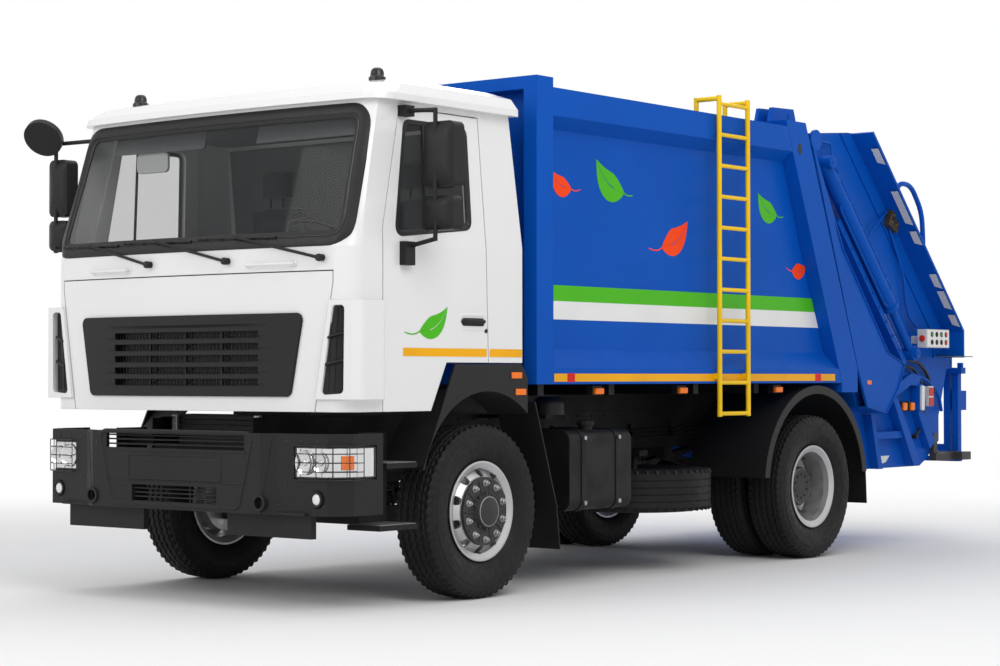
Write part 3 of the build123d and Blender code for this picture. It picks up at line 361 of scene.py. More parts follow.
finish("white_paint", (0.765, 0.765, 0.763), (0.25, 0.27), "white_paint", scale=240, bump=0.003, shade=0.997,
       dust=0.012, radius=0.006, Coat_Weight=0.4, Coat_Roughness=0.08)
# The blue's edge colour is a lighter blue: a painted highlight on its knocked edges, not bare metal.
finish("blue_paint", (0.002, 0.085, 0.46), (0.33, 0.40), "blue_paint", scale=150, bump=0.010, shade=0.93,
       dust=0.03, reach=2.0, edge_wear_and_highlight=0.2, radius=0.006, edge_wear_and_highlight_colour=(0.02, 0.15, 0.55), Specular_IOR_Level=0.06)
finish("yellow_paint", (0.95, 0.60, 0.004), (0.30, 0.42), "yellow_paint", scale=180, bump=0.06, shade=0.86,
       dust=0.08, edge_wear_and_highlight=0.5, Specular_IOR_Level=0.25)
finish("frame_black", (0.007, 0.007, 0.0075), (0.42, 0.62), "frame_black", scale=90, bump=0.12, shade=0.7,
       dust=0.035, reach=1.2, edge_wear_and_highlight=0.3, edge_wear_and_highlight_colour=(0.04, 0.038, 0.036), Specular_IOR_Level=0.2)
finish("black_plastic", (0.011, 0.011, 0.0115), (0.40, 0.52), "black_plastic", scale=900, bump=0.18,
       depth=0.0006, shade=0.8, dust=0.025, reach=1.3, edge_wear_and_highlight=0.25, edge_wear_and_highlight_colour=(0.05, 0.05, 0.05),
       Specular_IOR_Level=0.22)
finish("gloss_black", (0.008, 0.008, 0.009), (0.16, 0.28), "black_plastic", scale=300, bump=0.03, dust=0.04,
       Specular_IOR_Level=0.4)
finish("rubber_seal", (0.009, 0.009, 0.009), (0.40, 0.55), "black_plastic", scale=700, bump=0.12, dust=0.03,
       Specular_IOR_Level=0.3)
finish("rim_silver", (0.55, 0.55, 0.56), (0.28, 0.44), "rim_silver", scale=220, bump=0.08, shade=0.8,
       dust=0.22, reach=1.4, edge_wear_and_highlight=0.1, Metallic=0.75)
finish("hub_casting", (0.018, 0.018, 0.019), (0.4, 0.6), "frame_black", scale=70, bump=0.3, shade=0.7,
       dust=0.10, edge_wear_and_highlight=0.5, edge_wear_and_highlight_colour=(0.12, 0.115, 0.11), Specular_IOR_Level=0.4)
finish("grey_casting", (0.045, 0.045, 0.047), (0.45, 0.65), "grey_casting", scale=45, bump=0.35, shade=0.7,
       dust=0.15, edge_wear_and_highlight=0.4, edge_wear_and_highlight_colour=(0.2, 0.19, 0.18), Metallic=0.4)
finish("bright_steel", (0.62, 0.62, 0.63), (0.10, 0.22), "bright_steel", scale=300, bump=0.03, dust=0.1,
       Metallic=1.0)
finish("zinc", (0.42, 0.42, 0.43), (0.3, 0.5), "bright_steel", scale=160, shade=0.75, dust=0.2, edge_wear_and_highlight=0.2,
       Metallic=0.9)
finish("box_grey", (0.62, 0.63, 0.63), (0.35, 0.5), "box_grey", scale=500, bump=0.08, dust=0.1, edge_wear_and_highlight=0.1)
finish("leaf_green", (0.07, 0.47, 0.008), (0.3, 0.4), scale=150, bump=0.02, shade=0.95, dust=0.02,
       Specular_IOR_Level=0.15)
finish("leaf_red", (0.95, 0.060, 0.0), (0.3, 0.4), scale=150, bump=0.02, shade=0.95, dust=0.02,
       Specular_IOR_Level=0.15)
finish("stripe_white", (0.80, 0.80, 0.79), (0.28, 0.4), scale=150, bump=0.03, shade=0.95, dust=0.08)
finish("brown_valve", (0.09, 0.065, 0.04), (0.4, 0.6), "grey_casting", scale=60, bump=0.2, dust=0.2,
       Metallic=0.6, edge_wear_and_highlight=0.3)
finish("lamp_socket", (0.72, 0.72, 0.73), (0.06, 0.14), "bright_steel", scale=120, bump=0.02, dust=0.0,
       Metallic=1.0)
print("finishes so far:", len(FINISHES))

# %% [markdown]
# ## Cloth, tread plate and reflective tape
# Some finishes have a pattern that a maker would recognise at once: the weave of a seat cover, the
# raised lozenges of a step and the honeycomb of reflective tape. Each pattern is a small function
# that changes the tone and the height before the recipe wears and dusts them.

# %% Patterned finishes


def weave(tree, tone):
    """Crossing threads: waves along x and along y, both crossed by waves along z."""
    coords = object_place(tree)
    waves = {}
    for direction in ("X", "Z", "Y"):
        node = new_node(tree, "TexWave", Scale=110, Distortion=0.4, Vector=coords)
        node.bands_direction = direction
        waves[direction] = node.outputs["Fac"]
    cross = math_node(tree, "MULTIPLY", math_node(tree, "ADD", waves["X"], waves["Y"]), waves["Z"])
    return mix_colour(tree, ramp(tree, cross, 0.2, 1.4), tone, (0.07, 0.075, 0.085)), cross


def lozenges(tree, tone):
    """Raised bars in two directions, as on anti-slip plate."""
    turn = new_node(tree, "Mapping", Rotation=(0, 0, math.radians(45)), Vector=object_place(tree))
    bars = new_node(tree, "TexChecker", Scale=55, Vector=turn.outputs["Vector"]).outputs["Fac"]
    return mix_colour(tree, bars, tone, (0.5, 0.5, 0.51)), bars


def honeycomb(tree, tone):
    """The cells of reflective tape."""
    cells = new_node(tree, "TexVoronoi", Scale=160, Randomness=0.15, Vector=object_place(tree))
    cells.feature = "DISTANCE_TO_EDGE"
    seams = ramp(tree, cells.outputs["Distance"], 0.03, 0.09)
    return mix_colour(tree, math_node(tree, "SUBTRACT", 1.0, seams), tone, (0.45, 0.45, 0.45)), seams


finish("seat_cloth", (0.022, 0.024, 0.03), (0.85, 0.95), "seat_cloth", scale=40, bump=0.5, dust=0.0,
       pattern=weave, Sheen_Weight=0.25)
finish("tread_plate", (0.30, 0.30, 0.31), (0.3, 0.45), "grey_casting", scale=160, bump=0.6, depth=0.002,
       edge_wear_and_highlight=0.3, pattern=lozenges, Metallic=0.9)
finish("tape_yellow", (0.90, 0.42, 0.0), (0.3, 0.4), "amber_lens", scale=200, dust=0.02,
       Specular_IOR_Level=0.2)
finish("tape_red", (0.70, 0.006, 0.002), (0.3, 0.4), "amber_lens", scale=200, dust=0.02,
       Specular_IOR_Level=0.2)
finish("tape_white", (0.78, 0.79, 0.80), (0.25, 0.35), scale=200, bump=0.15, dust=0.08, pattern=honeycomb,
       Coat_Weight=0.5)
finish("amber_lens", (0.95, 0.19, 0.0), (0.12, 0.2), "amber_lens", scale=300, bump=0.12, dust=0.01,
       Specular_IOR_Level=0.3)
finish("red_lens", (0.60, 0.012, 0.008), (0.10, 0.16), "amber_lens", scale=300, bump=0.12, dust=0.02,
       Specular_IOR_Level=0.3)
finish("lamp_lens", (0.80, 0.81, 0.82), (0.08, 0.14), "lamp_lens", scale=300, bump=0.05, dust=0.03,
       Coat_Weight=0.6)
finish("button_green", (0.02, 0.30, 0.06), (0.3, 0.4), scale=300, bump=0.03, dust=0.05)
finish("button_red", (0.60, 0.02, 0.01), (0.3, 0.4), scale=300, bump=0.03, dust=0.05)
finish("grass_mat", (0.09, 0.16, 0.12), (0.7, 0.85), "black_plastic", scale=500, bump=0.5, dust=0.2)
print("finishes:", len(FINISHES))

# %% [markdown]
# ## Glass and rubber
# The screens are dark tinted glass that still lets the seats show. A thin sheet needs no
# refraction, so the glass is a plain gloss whose alpha is low and rises at a slant by Fresnel. A
# pane has two faces, and from behind, Fresnel would call its far face a mirror, so Backfacing
# switches the slant off there. Tyre rubber is dull black with fine scuffs round its tread.

# %% Glass and rubber
GLASS_DUST = (0.4, 0.38, 0.35)
GLASS_IOR = 1.5


def clear_glass(name, tint, share, slot):
    """Thin glass: mostly see-through, with a plain gloss on its outer side that grows at a slant."""
    tree, shader = new_material(name, slot)
    feed(shader.inputs["Metallic"], 0)
    feed(shader.inputs["IOR"], GLASS_IOR)
    grain = place_group(tree, grain_group, Scale=30.0, Low=0.02, High=0.06)
    feed(shader.inputs["Roughness"], grain["Roughness"])
    dusty = place_group(tree, dust_group, Reach=3.4, Amount=0.12)
    feed(shader.inputs["Base Color"], mix_colour(tree, dusty["Mask"], tint, GLASS_DUST))
    slant = new_node(tree, "Fresnel", IOR=GLASS_IOR).outputs[0]
    behind = new_node(tree, "NewGeometry").outputs["Backfacing"]
    outside = math_node(tree, "SUBTRACT", 1.0, behind)
    gloss = math_node(tree, "MULTIPLY", math_node(tree, "MULTIPLY", slant, 0.9), outside)
    feed(shader.inputs["Alpha"], math_node(tree, "ADD", share, gloss, True))


clear_glass("tinted_glass", (0.03, 0.036, 0.038), 0.13, "tinted_glass")
clear_glass("clear_lens", (0.5, 0.5, 0.5), 0.06, "lamp_lens")
finish("tyre_rubber", (0.009, 0.009, 0.0095), (0.50, 0.68), "tyre_rubber", scale=400, bump=0.2, shade=0.75,
       dust=0.05, reach=0.9, radius=0.002, Specular_IOR_Level=0.2)
print("all finishes:", len(FINISHES))

# %% [markdown]
# ## Finishes for the model's own parts
# Each part of the CAD model already has the right shape, so it keeps its mesh and only swaps its
# material. A table of part and finish is easier to check than a long run of calls.

# %% Dress the CAD parts
PART_FINISH = {
    "white_paint": "cab_shell left_door right_door front_flap",
    "blue_paint": "container_shell container_frame rear_frame tailgate_shell hopper tailgate_sides "
    "slide_tubes lift_tubes carriage packer_blade bin_lifter ejector_plate",
    "yellow_paint": "ladder",
    "frame_black": "frame_rails subframe fuel_tank battery_box rear_axle front_axle leaf_springs tie_rod "
    "left_knuckle right_knuckle cab_steps",
    "black_plastic": "front_bumper grille wheel_arches mudguards left_mirrors right_mirrors wipers "
    "air_cleaner cab_interior",
    "gloss_black": "roof_beacons",
    "rubber_seal": "steering_wheel radiator",
    "rim_silver": "front_left_rim front_right_rim rear_left_rims rear_right_rims",
    "grey_casting": "engine silencer air_tanks rear_step",
    "bright_steel": "lift_rods",
    "tyre_rubber": "front_left_tyre front_right_tyre rear_left_tyres rear_right_tyres spare_wheel",
    "tinted_glass": "windscreen left_door_glass right_door_glass",
    "lamp_lens": "front_lamps tail_lamps",
    "box_grey": "control_box",
}
for finish_name, parts in PART_FINISH.items():
    for part_name in parts.split():
        if part_name in cad:
            cad[part_name].data.materials.clear()
            cad[part_name].data.materials.append(FINISHES[finish_name])
left_over = sorted(set(cad) - {p for parts in PART_FINISH.values() for p in parts.split()})
print("dressed:", len(cad) - len(left_over), "left over:", left_over)

# %% [markdown]
# ## Mesh helpers
# A few shapes come back all over a vehicle: a strip between rows of points, a plate cut to an
# outline, a turned ring and a bent bar. Each helper adds its faces to a bmesh, so that many bolts
# or rungs become one piece. Primitive operators would work too, but they need the context and make
# one object each.

# %% Mesh helpers


def strip(bm, rows, closed=False, loop=False):
    """Faces between rows of points. closed joins each row's ends, loop joins the last row to the first."""
    grid = [[bm.verts.new(p) for p in row] for row in rows]
    for i in range(len(grid) if loop else len(grid) - 1):
        near, far = grid[i], grid[(i + 1) % len(grid)]
        for j in range(len(near) if closed else len(near) - 1):
            k = (j + 1) % len(near)
            bm.faces.new((near[j], near[k], far[k], far[j]))
    return grid


def on_side(y, z, depth):
    """An outline drawn from the left; its depth is the distance out from the middle."""
    return at(depth, y, z)


def on_right(y, z, depth):
    """The same for the right-hand side."""
    return at(-depth, y, z)


def on_front(x, z, depth):
    """An outline drawn from the front; its depth is a station."""
    return at(x, depth, z)


def plate(bm, outline, place, near, far):
    """An outline made solid between two depths."""
    low = [bm.verts.new(place(u, v, near)) for u, v in outline]
    high = [bm.verts.new(place(u, v, far)) for u, v in outline]
    bm.faces.new(low)
    bm.faces.new(high[::-1])
    for i in range(len(low)):
        j = (i + 1) % len(low)
        bm.faces.new((low[j], low[i], high[i], high[j]))


def block(bm, x0, x1, y0, y1, z0, z1):
    """A box between stations; its maker rounds its edges."""
    plate(bm, oblong(y0, y1, z0, z1), on_side, x0, x1)


def turned(bm, section, centre, axis, steps=48, closed=True):
    """A closed section of (along, radius) pairs turned about an axis through centre."""
    axis = Vector(axis).normalized()
    first = axis.orthogonal().normalized()
    second = axis.cross(first)
    rows = []
    for step in range(steps):
        angle = 2 * math.pi * step / steps
        out_way = first * math.cos(angle) + second * math.sin(angle)
        rows.append([Vector(centre) + axis * along + out_way * radius for along, radius in section])
    strip(bm, rows, closed=closed, loop=True)


def bolt(bm, place, way, radius, top, height, sides=6, foot=0.0):
    """A bolt head, with its radius at the foot and at the top."""
    turned(bm, [(foot, 0), (foot, radius), (height, top), (height, 0)], place, way, sides)


def round_corner(before, corner, after, reach, steps):
    """The points that round a corner off, from reach before it to reach after it."""
    start = corner + (before - corner).normalized() * reach
    stop = corner + (after - corner).normalized() * reach
    parts = [step / steps for step in range(steps + 1)]
    return [start.lerp(corner, t).lerp(corner.lerp(stop, t), t) for t in parts]


def rounded_path(points, bend, steps=5):
    """The points of a bent bar, with its corners rounded."""
    points = [Vector(p) for p in points]
    path = [points[0]]
    for before, corner, after in zip(points, points[1:], points[2:]):
        reach = min(bend, (corner - before).length * 0.45, (after - corner).length * 0.45)
        path += round_corner(before, corner, after, reach, steps)
    return path + [points[-1]]


def bar(bm, points, radius, bend=0.0, sides=10, flat=1.0):
    """A round bar along a path, closed at its ends. flat squeezes its second axis."""
    path = rounded_path(points, bend) if bend else [Vector(p) for p in points]
    rows, side = [], None
    for i, point in enumerate(path):
        way = (path[min(i + 1, len(path) - 1)] - path[max(i - 1, 0)]).normalized()
        side = way.orthogonal().normalized() if side is None else (side - way * side.dot(way)).normalized()
        other = way.cross(side)
        rows.append([point + (side * math.cos(a) + other * math.sin(a) * flat) * radius
                     for a in (2 * math.pi * s / sides for s in range(sides))])
    grid = strip(bm, rows, closed=True)
    bm.faces.new(grid[0][::-1])
    bm.faces.new(grid[-1])


def twin(bm):
    """Adds the right-hand twin of everything so far."""
    made = bmesh.ops.duplicate(bm, geom=bm.verts[:] + bm.edges[:] + bm.faces[:])["geom"]
    for v in made:
        if isinstance(v, bmesh.types.BMVert):
            v.co.x = -v.co.x
    bmesh.ops.reverse_faces(bm, faces=[f for f in made if isinstance(f, bmesh.types.BMFace)])


def piece(name, bm, body, finish_name, bevel=0.0, angle=35, replaces=(), segments=2, clean=None):
    """Turns the bmesh into a named piece on a body. clean merges double points, as a bevel needs."""
    if bevel if clean is None else clean:
        bmesh.ops.remove_doubles(bm, verts=bm.verts, dist=1e-5)
        bmesh.ops.recalc_face_normals(bm, faces=bm.faces)
    mesh = bpy.data.meshes.new(name)
    bm.to_mesh(mesh)
    bm.free()
    mesh.materials.append(FINISHES[finish_name])
    mesh.shade_smooth()
    mesh.set_sharp_from_angle(angle=math.radians(angle))
    made = bpy.data.objects.new(name, mesh)
    scene.collection.objects.link(made)
    if bevel:
        soft = made.modifiers.new("edges", "BEVEL")
        soft.width, soft.segments, soft.limit_method = bevel, segments, "ANGLE"
        soft.angle_limit = math.radians(40)
        soft.harden_normals = True
    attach(made, body)
    if replaces:
        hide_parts(*replaces)
    print(f"{name}: {len(mesh.polygons)} faces on {body}")


print("mesh helpers ready")

# %% [markdown]
# ## Tyres
# The CAD tyres are smooth rings, right for a simulation but dull to look at. A real truck tyre has
# ribs cut by wavy grooves, notches along its shoulders and fine rings on its wall. Carving blocks
# with booleans would be slow, so the section is turned with many steps and each point's radius is
# lowered where a groove or notch passes.

# %% Tyres
TYRE_WALL = ((0.097, 0.273), (0.100, 0.300), (0.112, 0.315), (0.122, 0.330), (0.124, 0.334), (0.130, 0.345),
             (0.138, 0.375), (0.1395, 0.378), (0.142, 0.395), (0.146, 0.425), (0.1455, 0.446), (0.141, 0.452),
             (0.142, 0.466), (0.137, 0.484))
TREAD_STEPS = 240


def tread_radius(x, turn):
    """How far the tread reaches at a width and a part of a turn."""
    low = 0.5195 - 0.006 * (abs(x) / 0.118) ** 2
    wave = 0.006 * math.sin(2 * math.pi * turn * 60)
    for groove in (-0.072, -0.024, 0.024, 0.072):
        if abs(x - groove - wave) < 0.0055:
            return low - 0.013
    if abs(x) > 0.093 and (turn * 60) % 1 < 0.3:
        return low - 0.010
    return low


def tyre(bm, centre):
    """One tyre about a line across the truck."""
    wall = [Vector((x, r)) for x, r in TYRE_WALL]
    tread = [x / 1000 for x in range(-118, 119, 4)]
    left = [(-x, r) for x, r in wall]
    right = [(x, r) for x, r in reversed(wall)]
    rows = []
    for step in range(TREAD_STEPS):
        turn = step / TREAD_STEPS
        angle = 2 * math.pi * turn
        notch = 0.004 if (turn * 60) % 1 < 0.3 else 0.0
        section = [(x, r - (notch if r > 0.46 else 0)) for x, r in left]
        section += [(x, tread_radius(x, turn)) for x in tread]
        section += [(x, r - (notch if r > 0.46 else 0)) for x, r in right]
        rows.append([centre + Vector((x, r * math.cos(angle), r * math.sin(angle))) for x, r in section])
    strip(bm, rows, closed=True, loop=True)


FRONT_X, OUTER_X, INNER_X = 1.076, 1.085, 0.750
for side_name, sign in SIDES:
    bm = bmesh.new()
    tyre(bm, at(sign * FRONT_X, 0, AXLE_Z))
    piece(f"front_{side_name}_tread", bm, f"front_{side_name}_wheel", "tyre_rubber", angle=28,
          replaces=[f"front_{side_name}_tyre"])
    bm = bmesh.new()
    tyre(bm, at(sign * OUTER_X, WHEELBASE, AXLE_Z))
    tyre(bm, at(sign * INNER_X, WHEELBASE, AXLE_Z))
    piece(f"rear_{side_name}_treads", bm, f"rear_{side_name}_wheels", "tyre_rubber", angle=28,
          replaces=[f"rear_{side_name}_tyres"])

# %% [markdown]
# ## Hubs and nuts
# Wheel hubs are cast iron painted black, with ten nuts on studs. The lathe helper turns the hub's
# cover a millimetre proud of the CAD hub, and each nut is a six-sided prism with a cone and a stud.
# Turning a section is the natural way to make parts that were turned in a lathe.

# %% Hubs


def nut(bm, place, way, size=0.016, height=0.022):
    """A wheel nut with its washer cone and stud."""
    turned(bm, [(0, 0), (0, size * 1.35), (0.005, size * 1.25), (0.006, 0)], place, way, 18)
    turned(bm, [(0.004, 0), (0.004, size), (height - 0.003, size), (height, size * 0.8), (height, 0)], place,
           way, 6)
    turned(bm, [(height, 0), (height, size * 0.5), (height + 0.010, size * 0.45), (height + 0.010, 0)], place,
           way, 12)


def ring_of(count, radius, x, y, start=0.0):
    """Places round an axle."""
    for i in range(count):
        a = 2 * math.pi * (i + start) / count
        yield at(x, y + radius * math.cos(a), AXLE_Z + radius * math.sin(a))


HUB_FACE = [(1.217, 0.0), (1.217, 0.203), (1.2165, 0.2035), (1.196, 0.2035), (1.196, 0.0)]
HUB_CAP = [(1.216, 0.0), (1.216, 0.106), (1.228, 0.101), (1.245, 0.095), (1.252, 0.082), (1.252, 0.0)]
for side_name, sign in SIDES:
    body = f"front_{side_name}_wheel"
    centre, way = at(0, 0, AXLE_Z), (sign, 0, 0)
    bm = bmesh.new()
    turned(bm, HUB_FACE, centre, way, 64)
    turned(bm, HUB_CAP, centre, way, 48)
    for spot in ring_of(10, 0.106, sign * 1.217, 0, 0.5):
        bolt(bm, spot, way, 0.012, 0.010, 0.014, sides=12, foot=-0.002)
    for spoke in ring_of(10, 0.13, sign * 1.2175, 0, 0.0):
        out = (spoke - at(sign * 1.2175, 0, AXLE_Z)).normalized()
        bar(bm, [spoke - out * 0.02, spoke + out * 0.06], 0.007, sides=8)
    piece(f"front_{side_name}_hub", bm, body, "hub_casting", bevel=0.002)
    bm = bmesh.new()
    for spot in ring_of(10, 0.1675, sign * 1.217, 0, 0.5):
        nut(bm, spot, way)
    piece(f"front_{side_name}_nuts", bm, body, "zinc", clean=True)
    body = f"rear_{side_name}_wheels"
    centre = at(0, WHEELBASE, AXLE_Z)
    bm = bmesh.new()
    turned(bm, [(0.951, 0.141), (0.951, 0.191), (0.940, 0.192), (0.940, 0.141)], centre, way, 64)
    turned(bm, [(0.945, 0), (0.945, 0.1415), (1.086, 0.1415), (1.099, 0.127), (1.1015, 0.12), (1.1015, 0)],
           centre, way, 48)
    for spot in ring_of(10, 0.085, sign * 1.1015, WHEELBASE, 0.5):
        bolt(bm, spot, way, 0.010, 0.008, 0.010, sides=8, foot=-0.002)
    piece(f"rear_{side_name}_hub", bm, body, "hub_casting", bevel=0.002)
    bm = bmesh.new()
    for spot in ring_of(10, 0.1675, sign * 0.951, WHEELBASE, 0.5):
        nut(bm, spot, way)
    piece(f"rear_{side_name}_nuts", bm, body, "zinc", clean=True)

# %% [markdown]
# ## The cab's skin as a function
# Everything stuck to the front of the cab has to follow its bow and its rake. The two functions
# below give the station of the front skin at a width and height, and the width of the side at a
# height. They repeat the CAD model's own numbers, so trim can be drawn flat and then laid on.

# %% Cab skin
NOSE, SAG, NOSE_HALF, SCREEN_FOOT, RAKE = -1.290, 0.058, 1.130, 2.045, 0.31


def front_skin(x, z):
    """Station of the cab's front at a width and height."""
    x = min(abs(x), 1.2)
    past = max(0.0, x - NOSE_HALF)
    return NOSE + SAG * (x / NOSE_HALF) ** 2 + past * past * 5.5 + max(0.0, z - SCREEN_FOOT) * RAKE


def side_skin(z):
    """Half width of the cab's side at a height."""
    return 1.240 - 0.045 * max(0.0, z - 2.08) / 0.92


def rounded_outline(corners, radius, steps=8):
    """A closed outline with round corners, as (u, v) pairs."""
    out_points, count = [], len(corners)
    for i in range(count):
        before, corner, after = (Vector(corners[(i + k) % count]) for k in (-1, 0, 1))
        turn = (before - corner).angle(after - corner)
        reach = min(radius / math.tan(turn / 2), (before - corner).length / 2.01,
                    (after - corner).length / 2.01)
        out_points += round_corner(before, corner, after, reach, steps)
    return out_points


def subdivided(points, longest):
    """The same closed outline with no span longer than longest."""
    fine = []
    for i, point in enumerate(points):
        after = points[(i + 1) % len(points)]
        parts = max(1, math.ceil((after - point).length / longest))
        fine += [point.lerp(after, k / parts) for k in range(parts)]
    return fine


def border(bm, points, profile, lay):
    """A strip round a closed outline. profile holds (outward, raised) pairs; lay puts a point on the skin."""
    count, rows = len(points), []
    area = sum(a.x * b.y - b.x * a.y for a, b in zip(points, points[1:] + points[:1]))
    for i in range(count):
        way = (points[(i + 1) % count] - points[i - 1]).normalized()
        outward = Vector((way.y, -way.x)) * (1 if area > 0 else -1)
        rows.append([lay(*(points[i] + outward * o), raised) for o, raised in profile])
    strip(bm, rows, loop=True)


print("skin at the screen's foot:", round(front_skin(0.5, SCREEN_FOOT), 3))

# %% [markdown]
# ## Rubber round the glass
# The windscreen sits in a wide black rubber with a soft rounded lip. It is a strip that runs round
# the opening: a row of points for each step along the outline, each row a small cross section.
# The door windows have a thinner one.

# %% Window rubbers


def on_nose(x, z, raised):
    """A point raised off the cab's front."""
    return at(x, front_skin(x, z) - raised, z)


def on_door(sign):
    """A function that raises points off one side of the cab."""
    return lambda y, z, raised: at(sign * (side_skin(z) + raised), y, z)


SCREEN = [(-1.200, 2.080), (1.200, 2.080), (1.150, 2.835), (-1.150, 2.835)]
bm = bmesh.new()
screen_line = subdivided(rounded_outline(SCREEN, 0.115), 0.07)
border(bm, screen_line, [(0.034, -0.006), (0.034, 0.003), (0.016, 0.010), (-0.010, 0.012), (-0.040, 0.005),
                         (-0.056, -0.004), (-0.056, -0.012)], on_nose)
piece("screen_rubber", bm, "cab", "rubber_seal")
bm = bmesh.new()
border(bm, screen_line, [(-0.022, 0.010), (-0.024, 0.013), (-0.028, 0.013), (-0.030, 0.009)], on_nose)
piece("screen_trim_lip", bm, "cab", "gloss_black")

WINDOW = [(-0.830, 2.120), (-0.160, 2.190), (-0.175, 2.780), (-0.720, 2.780)]
window_line = subdivided(rounded_outline(WINDOW, 0.055), 0.1)
for side_name, sign in SIDES:
    bm = bmesh.new()
    border(bm, window_line, [(0.012, -0.002), (0.010, 0.004), (-0.012, 0.004), (-0.024, -0.006),
                             (-0.024, -0.016)], on_door(sign))
    bar(bm, [at(sign * (side_skin(2.15) - 0.004), -0.56, 2.15),
             at(sign * (side_skin(2.77) - 0.004), -0.56, 2.775)], 0.009)
    piece(f"{side_name}_window_rubber", bm, f"{side_name}_door", "rubber_seal")

# %% [markdown]
# ## Grille and corner louvres
# The grille's slats are in the model. Behind its openings a real cab shows the dark radiator
# screen, here a fine lattice before a dark sheet of painted shade that shuts the daylight out. The
# corner pods hold a black insert with two ribs and three thin bars. The insert follows the corner's
# curve and lies a centimetre off the skin.

# %% Grille and pods
bm = bmesh.new()
for i in range(41):
    x = -0.60 + i * 0.03
    bar(bm, [at(x, front_skin(x, 1.4) + 0.030, 1.250), at(x, front_skin(x, 1.4) + 0.030, 1.62)], 0.003,
        sides=4)
for i in range(13):
    z = 1.255 + i * 0.03
    bar(bm, [at(-0.6 + k * 0.1, front_skin(-0.6 + k * 0.1, z) + 0.034, z) for k in range(13)], 0.003, sides=4)
piece("grille_lattice", bm, "front_flap", "gloss_black")
# A dark sheet behind the lattice: painted shade in the grille's depth.
bm = bmesh.new()
rows = []
for k in range(9):
    z = 1.235 + 0.050 * k
    rows.append([at(x, front_skin(x, z) + 0.046 - 0.008 * (k % 2), z)
                 for x in (-0.66 + 0.11 * m for m in range(13))])
strip(bm, rows)
piece("grille_shade_sheet", bm, "front_flap", "rubber_seal")

bm = bmesh.new()
rows = []
for k in range(13):
    z = 1.219 + 0.041 * k
    inner, outer = 1.064 + 0.080 * k / 12, 1.211 + 0.007 * k / 12
    rows.append([at(x, front_skin(x, z) - 0.010, z)
                 for x in (inner + (outer - inner) * m / 8 for m in range(9))])
strip(bm, rows)
for z in (1.385, 1.535):
    rib = [1.085 + 0.02 * (z - 1.3) / 0.2, 1.13, 1.17, 1.212]
    bar(bm, [at(x, front_skin(x, z) - 0.018, z + 0.01 * k) for k, x in enumerate(rib)], 0.012, flat=0.55)
for x in (1.105, 1.145, 1.185):
    bar(bm, [at(x, front_skin(x, 1.24) - 0.011, 1.24),
             at(x + 0.02, front_skin(x + 0.02, 1.70) - 0.011, 1.70)], 0.004, sides=6)
twin(bm)
piece("pod_louvres", bm, "cab", "black_plastic")

# %% [markdown]
# ## Headlamps
# Each headlamp is a clear cover over bright bowls: a main and a dipped beam, and an amber
# indicator at the corner. The cover follows the bumper's bend. The bowls are turned dishes in a
# bright housing, and thin wire guards stand in front, bolted above and below.

# %% Headlamps
LAMP_PATH = ((0.925, -1.318), (1.000, -1.312), (1.085, -1.305), (1.138, -1.300), (1.168, -1.276),
             (1.198, -1.236), (1.222, -1.203), (1.238, -1.175), (1.240, -1.120), (1.240, -1.060),
             (1.240, -1.006))


def lamp_row(path, z, inset):
    """Points along the lamp band at a height, pushed in from the bumper's skin."""
    row = []
    for i, (x, y) in enumerate(path):
        x0, y0 = path[max(i - 1, 0)]
        x1, y1 = path[min(i + 1, len(path) - 1)]
        way = Vector((y1 - y0, -(x1 - x0))).normalized()
        row.append(at(x - way.x * inset, y - way.y * inset, z))
    return row


def lamp_panel(bm, path, low, high, inset):
    """A curved panel along the lamp band with its edges turned in."""
    rows = [lamp_row(path, low, inset + 0.008), lamp_row(path, low + 0.004, inset)]
    rows += [lamp_row(path, low + (high - low) * k / 6, inset - 0.001 * math.sin(math.pi * k / 6))
             for k in range(1, 6)]
    rows += [lamp_row(path, high - 0.004, inset), lamp_row(path, high, inset + 0.008)]
    strip(bm, rows)


for side_name, mirror_it in (("left", False), ("right", True)):
    bm = bmesh.new()
    lamp_panel(bm, LAMP_PATH, 0.757, 0.923, 0.0125)
    parts = [("lamp_housing", bm, "lamp_socket")]
    bm = bmesh.new()
    lamp_panel(bm, LAMP_PATH, 0.755, 0.925, -0.004)
    parts.append(("lamp_cover", bm, "clear_lens"))
    bm = bmesh.new()
    for x, y, r in ((0.985, -1.3115, 0.070), (1.098, -1.3025, 0.058)):
        dish = [(-0.002, r), (-0.006, r * 0.98), (0.000, r * 0.80), (0.0035, r * 0.5), (0.005, r * 0.2),
                (0.0055, 0.0005)]
        turned(bm, dish, at(x, y, 0.840), (0.05, 1, 0), 40, closed=False)
        turned(bm, [(-0.004, 0.0005), (-0.004, 0.010), (-0.002, 0.016), (0.003, 0.018)], at(x, y, 0.840),
               (0.05, 1, 0), 24, closed=False)
    parts.append(("lamp_bowls", bm, "lamp_socket"))
    bm = bmesh.new()
    lamp_panel(bm, LAMP_PATH[5:8], 0.80, 0.88, 0.004)
    parts.append(("indicator", bm, "amber_lens"))
    bm = bmesh.new()
    turned(bm, [(-0.001, 0.020), (-0.004, 0.031), (-0.0105, 0.0325), (-0.011, 0.046), (0.010, 0.046),
                (0.010, 0.020)], at(1.076, -1.306, 0.638), (0, 1, 0), 40)
    parts.append(("fog_ring", bm, "black_plastic"))
    bm = bmesh.new()
    turned(bm, [(-0.010, 0.0005), (-0.009, 0.020), (-0.004, 0.032), (0.000, 0.033)], at(1.076, -1.306, 0.638),
           (0, 1, 0), 32, closed=False)
    parts.append(("fog_lens", bm, "lamp_lens"))
    for label, made_bm, finish_name in parts:
        if mirror_it:
            for v in made_bm.verts:
                v.co.x = -v.co.x
            bmesh.ops.reverse_faces(made_bm, faces=made_bm.faces)
        name = f"{side_name}_{label}"
        stands_for = ["front_lamps"] if name == "left_lamp_cover" else ()
        piece(name, made_bm, "chassis", finish_name, replaces=stands_for)

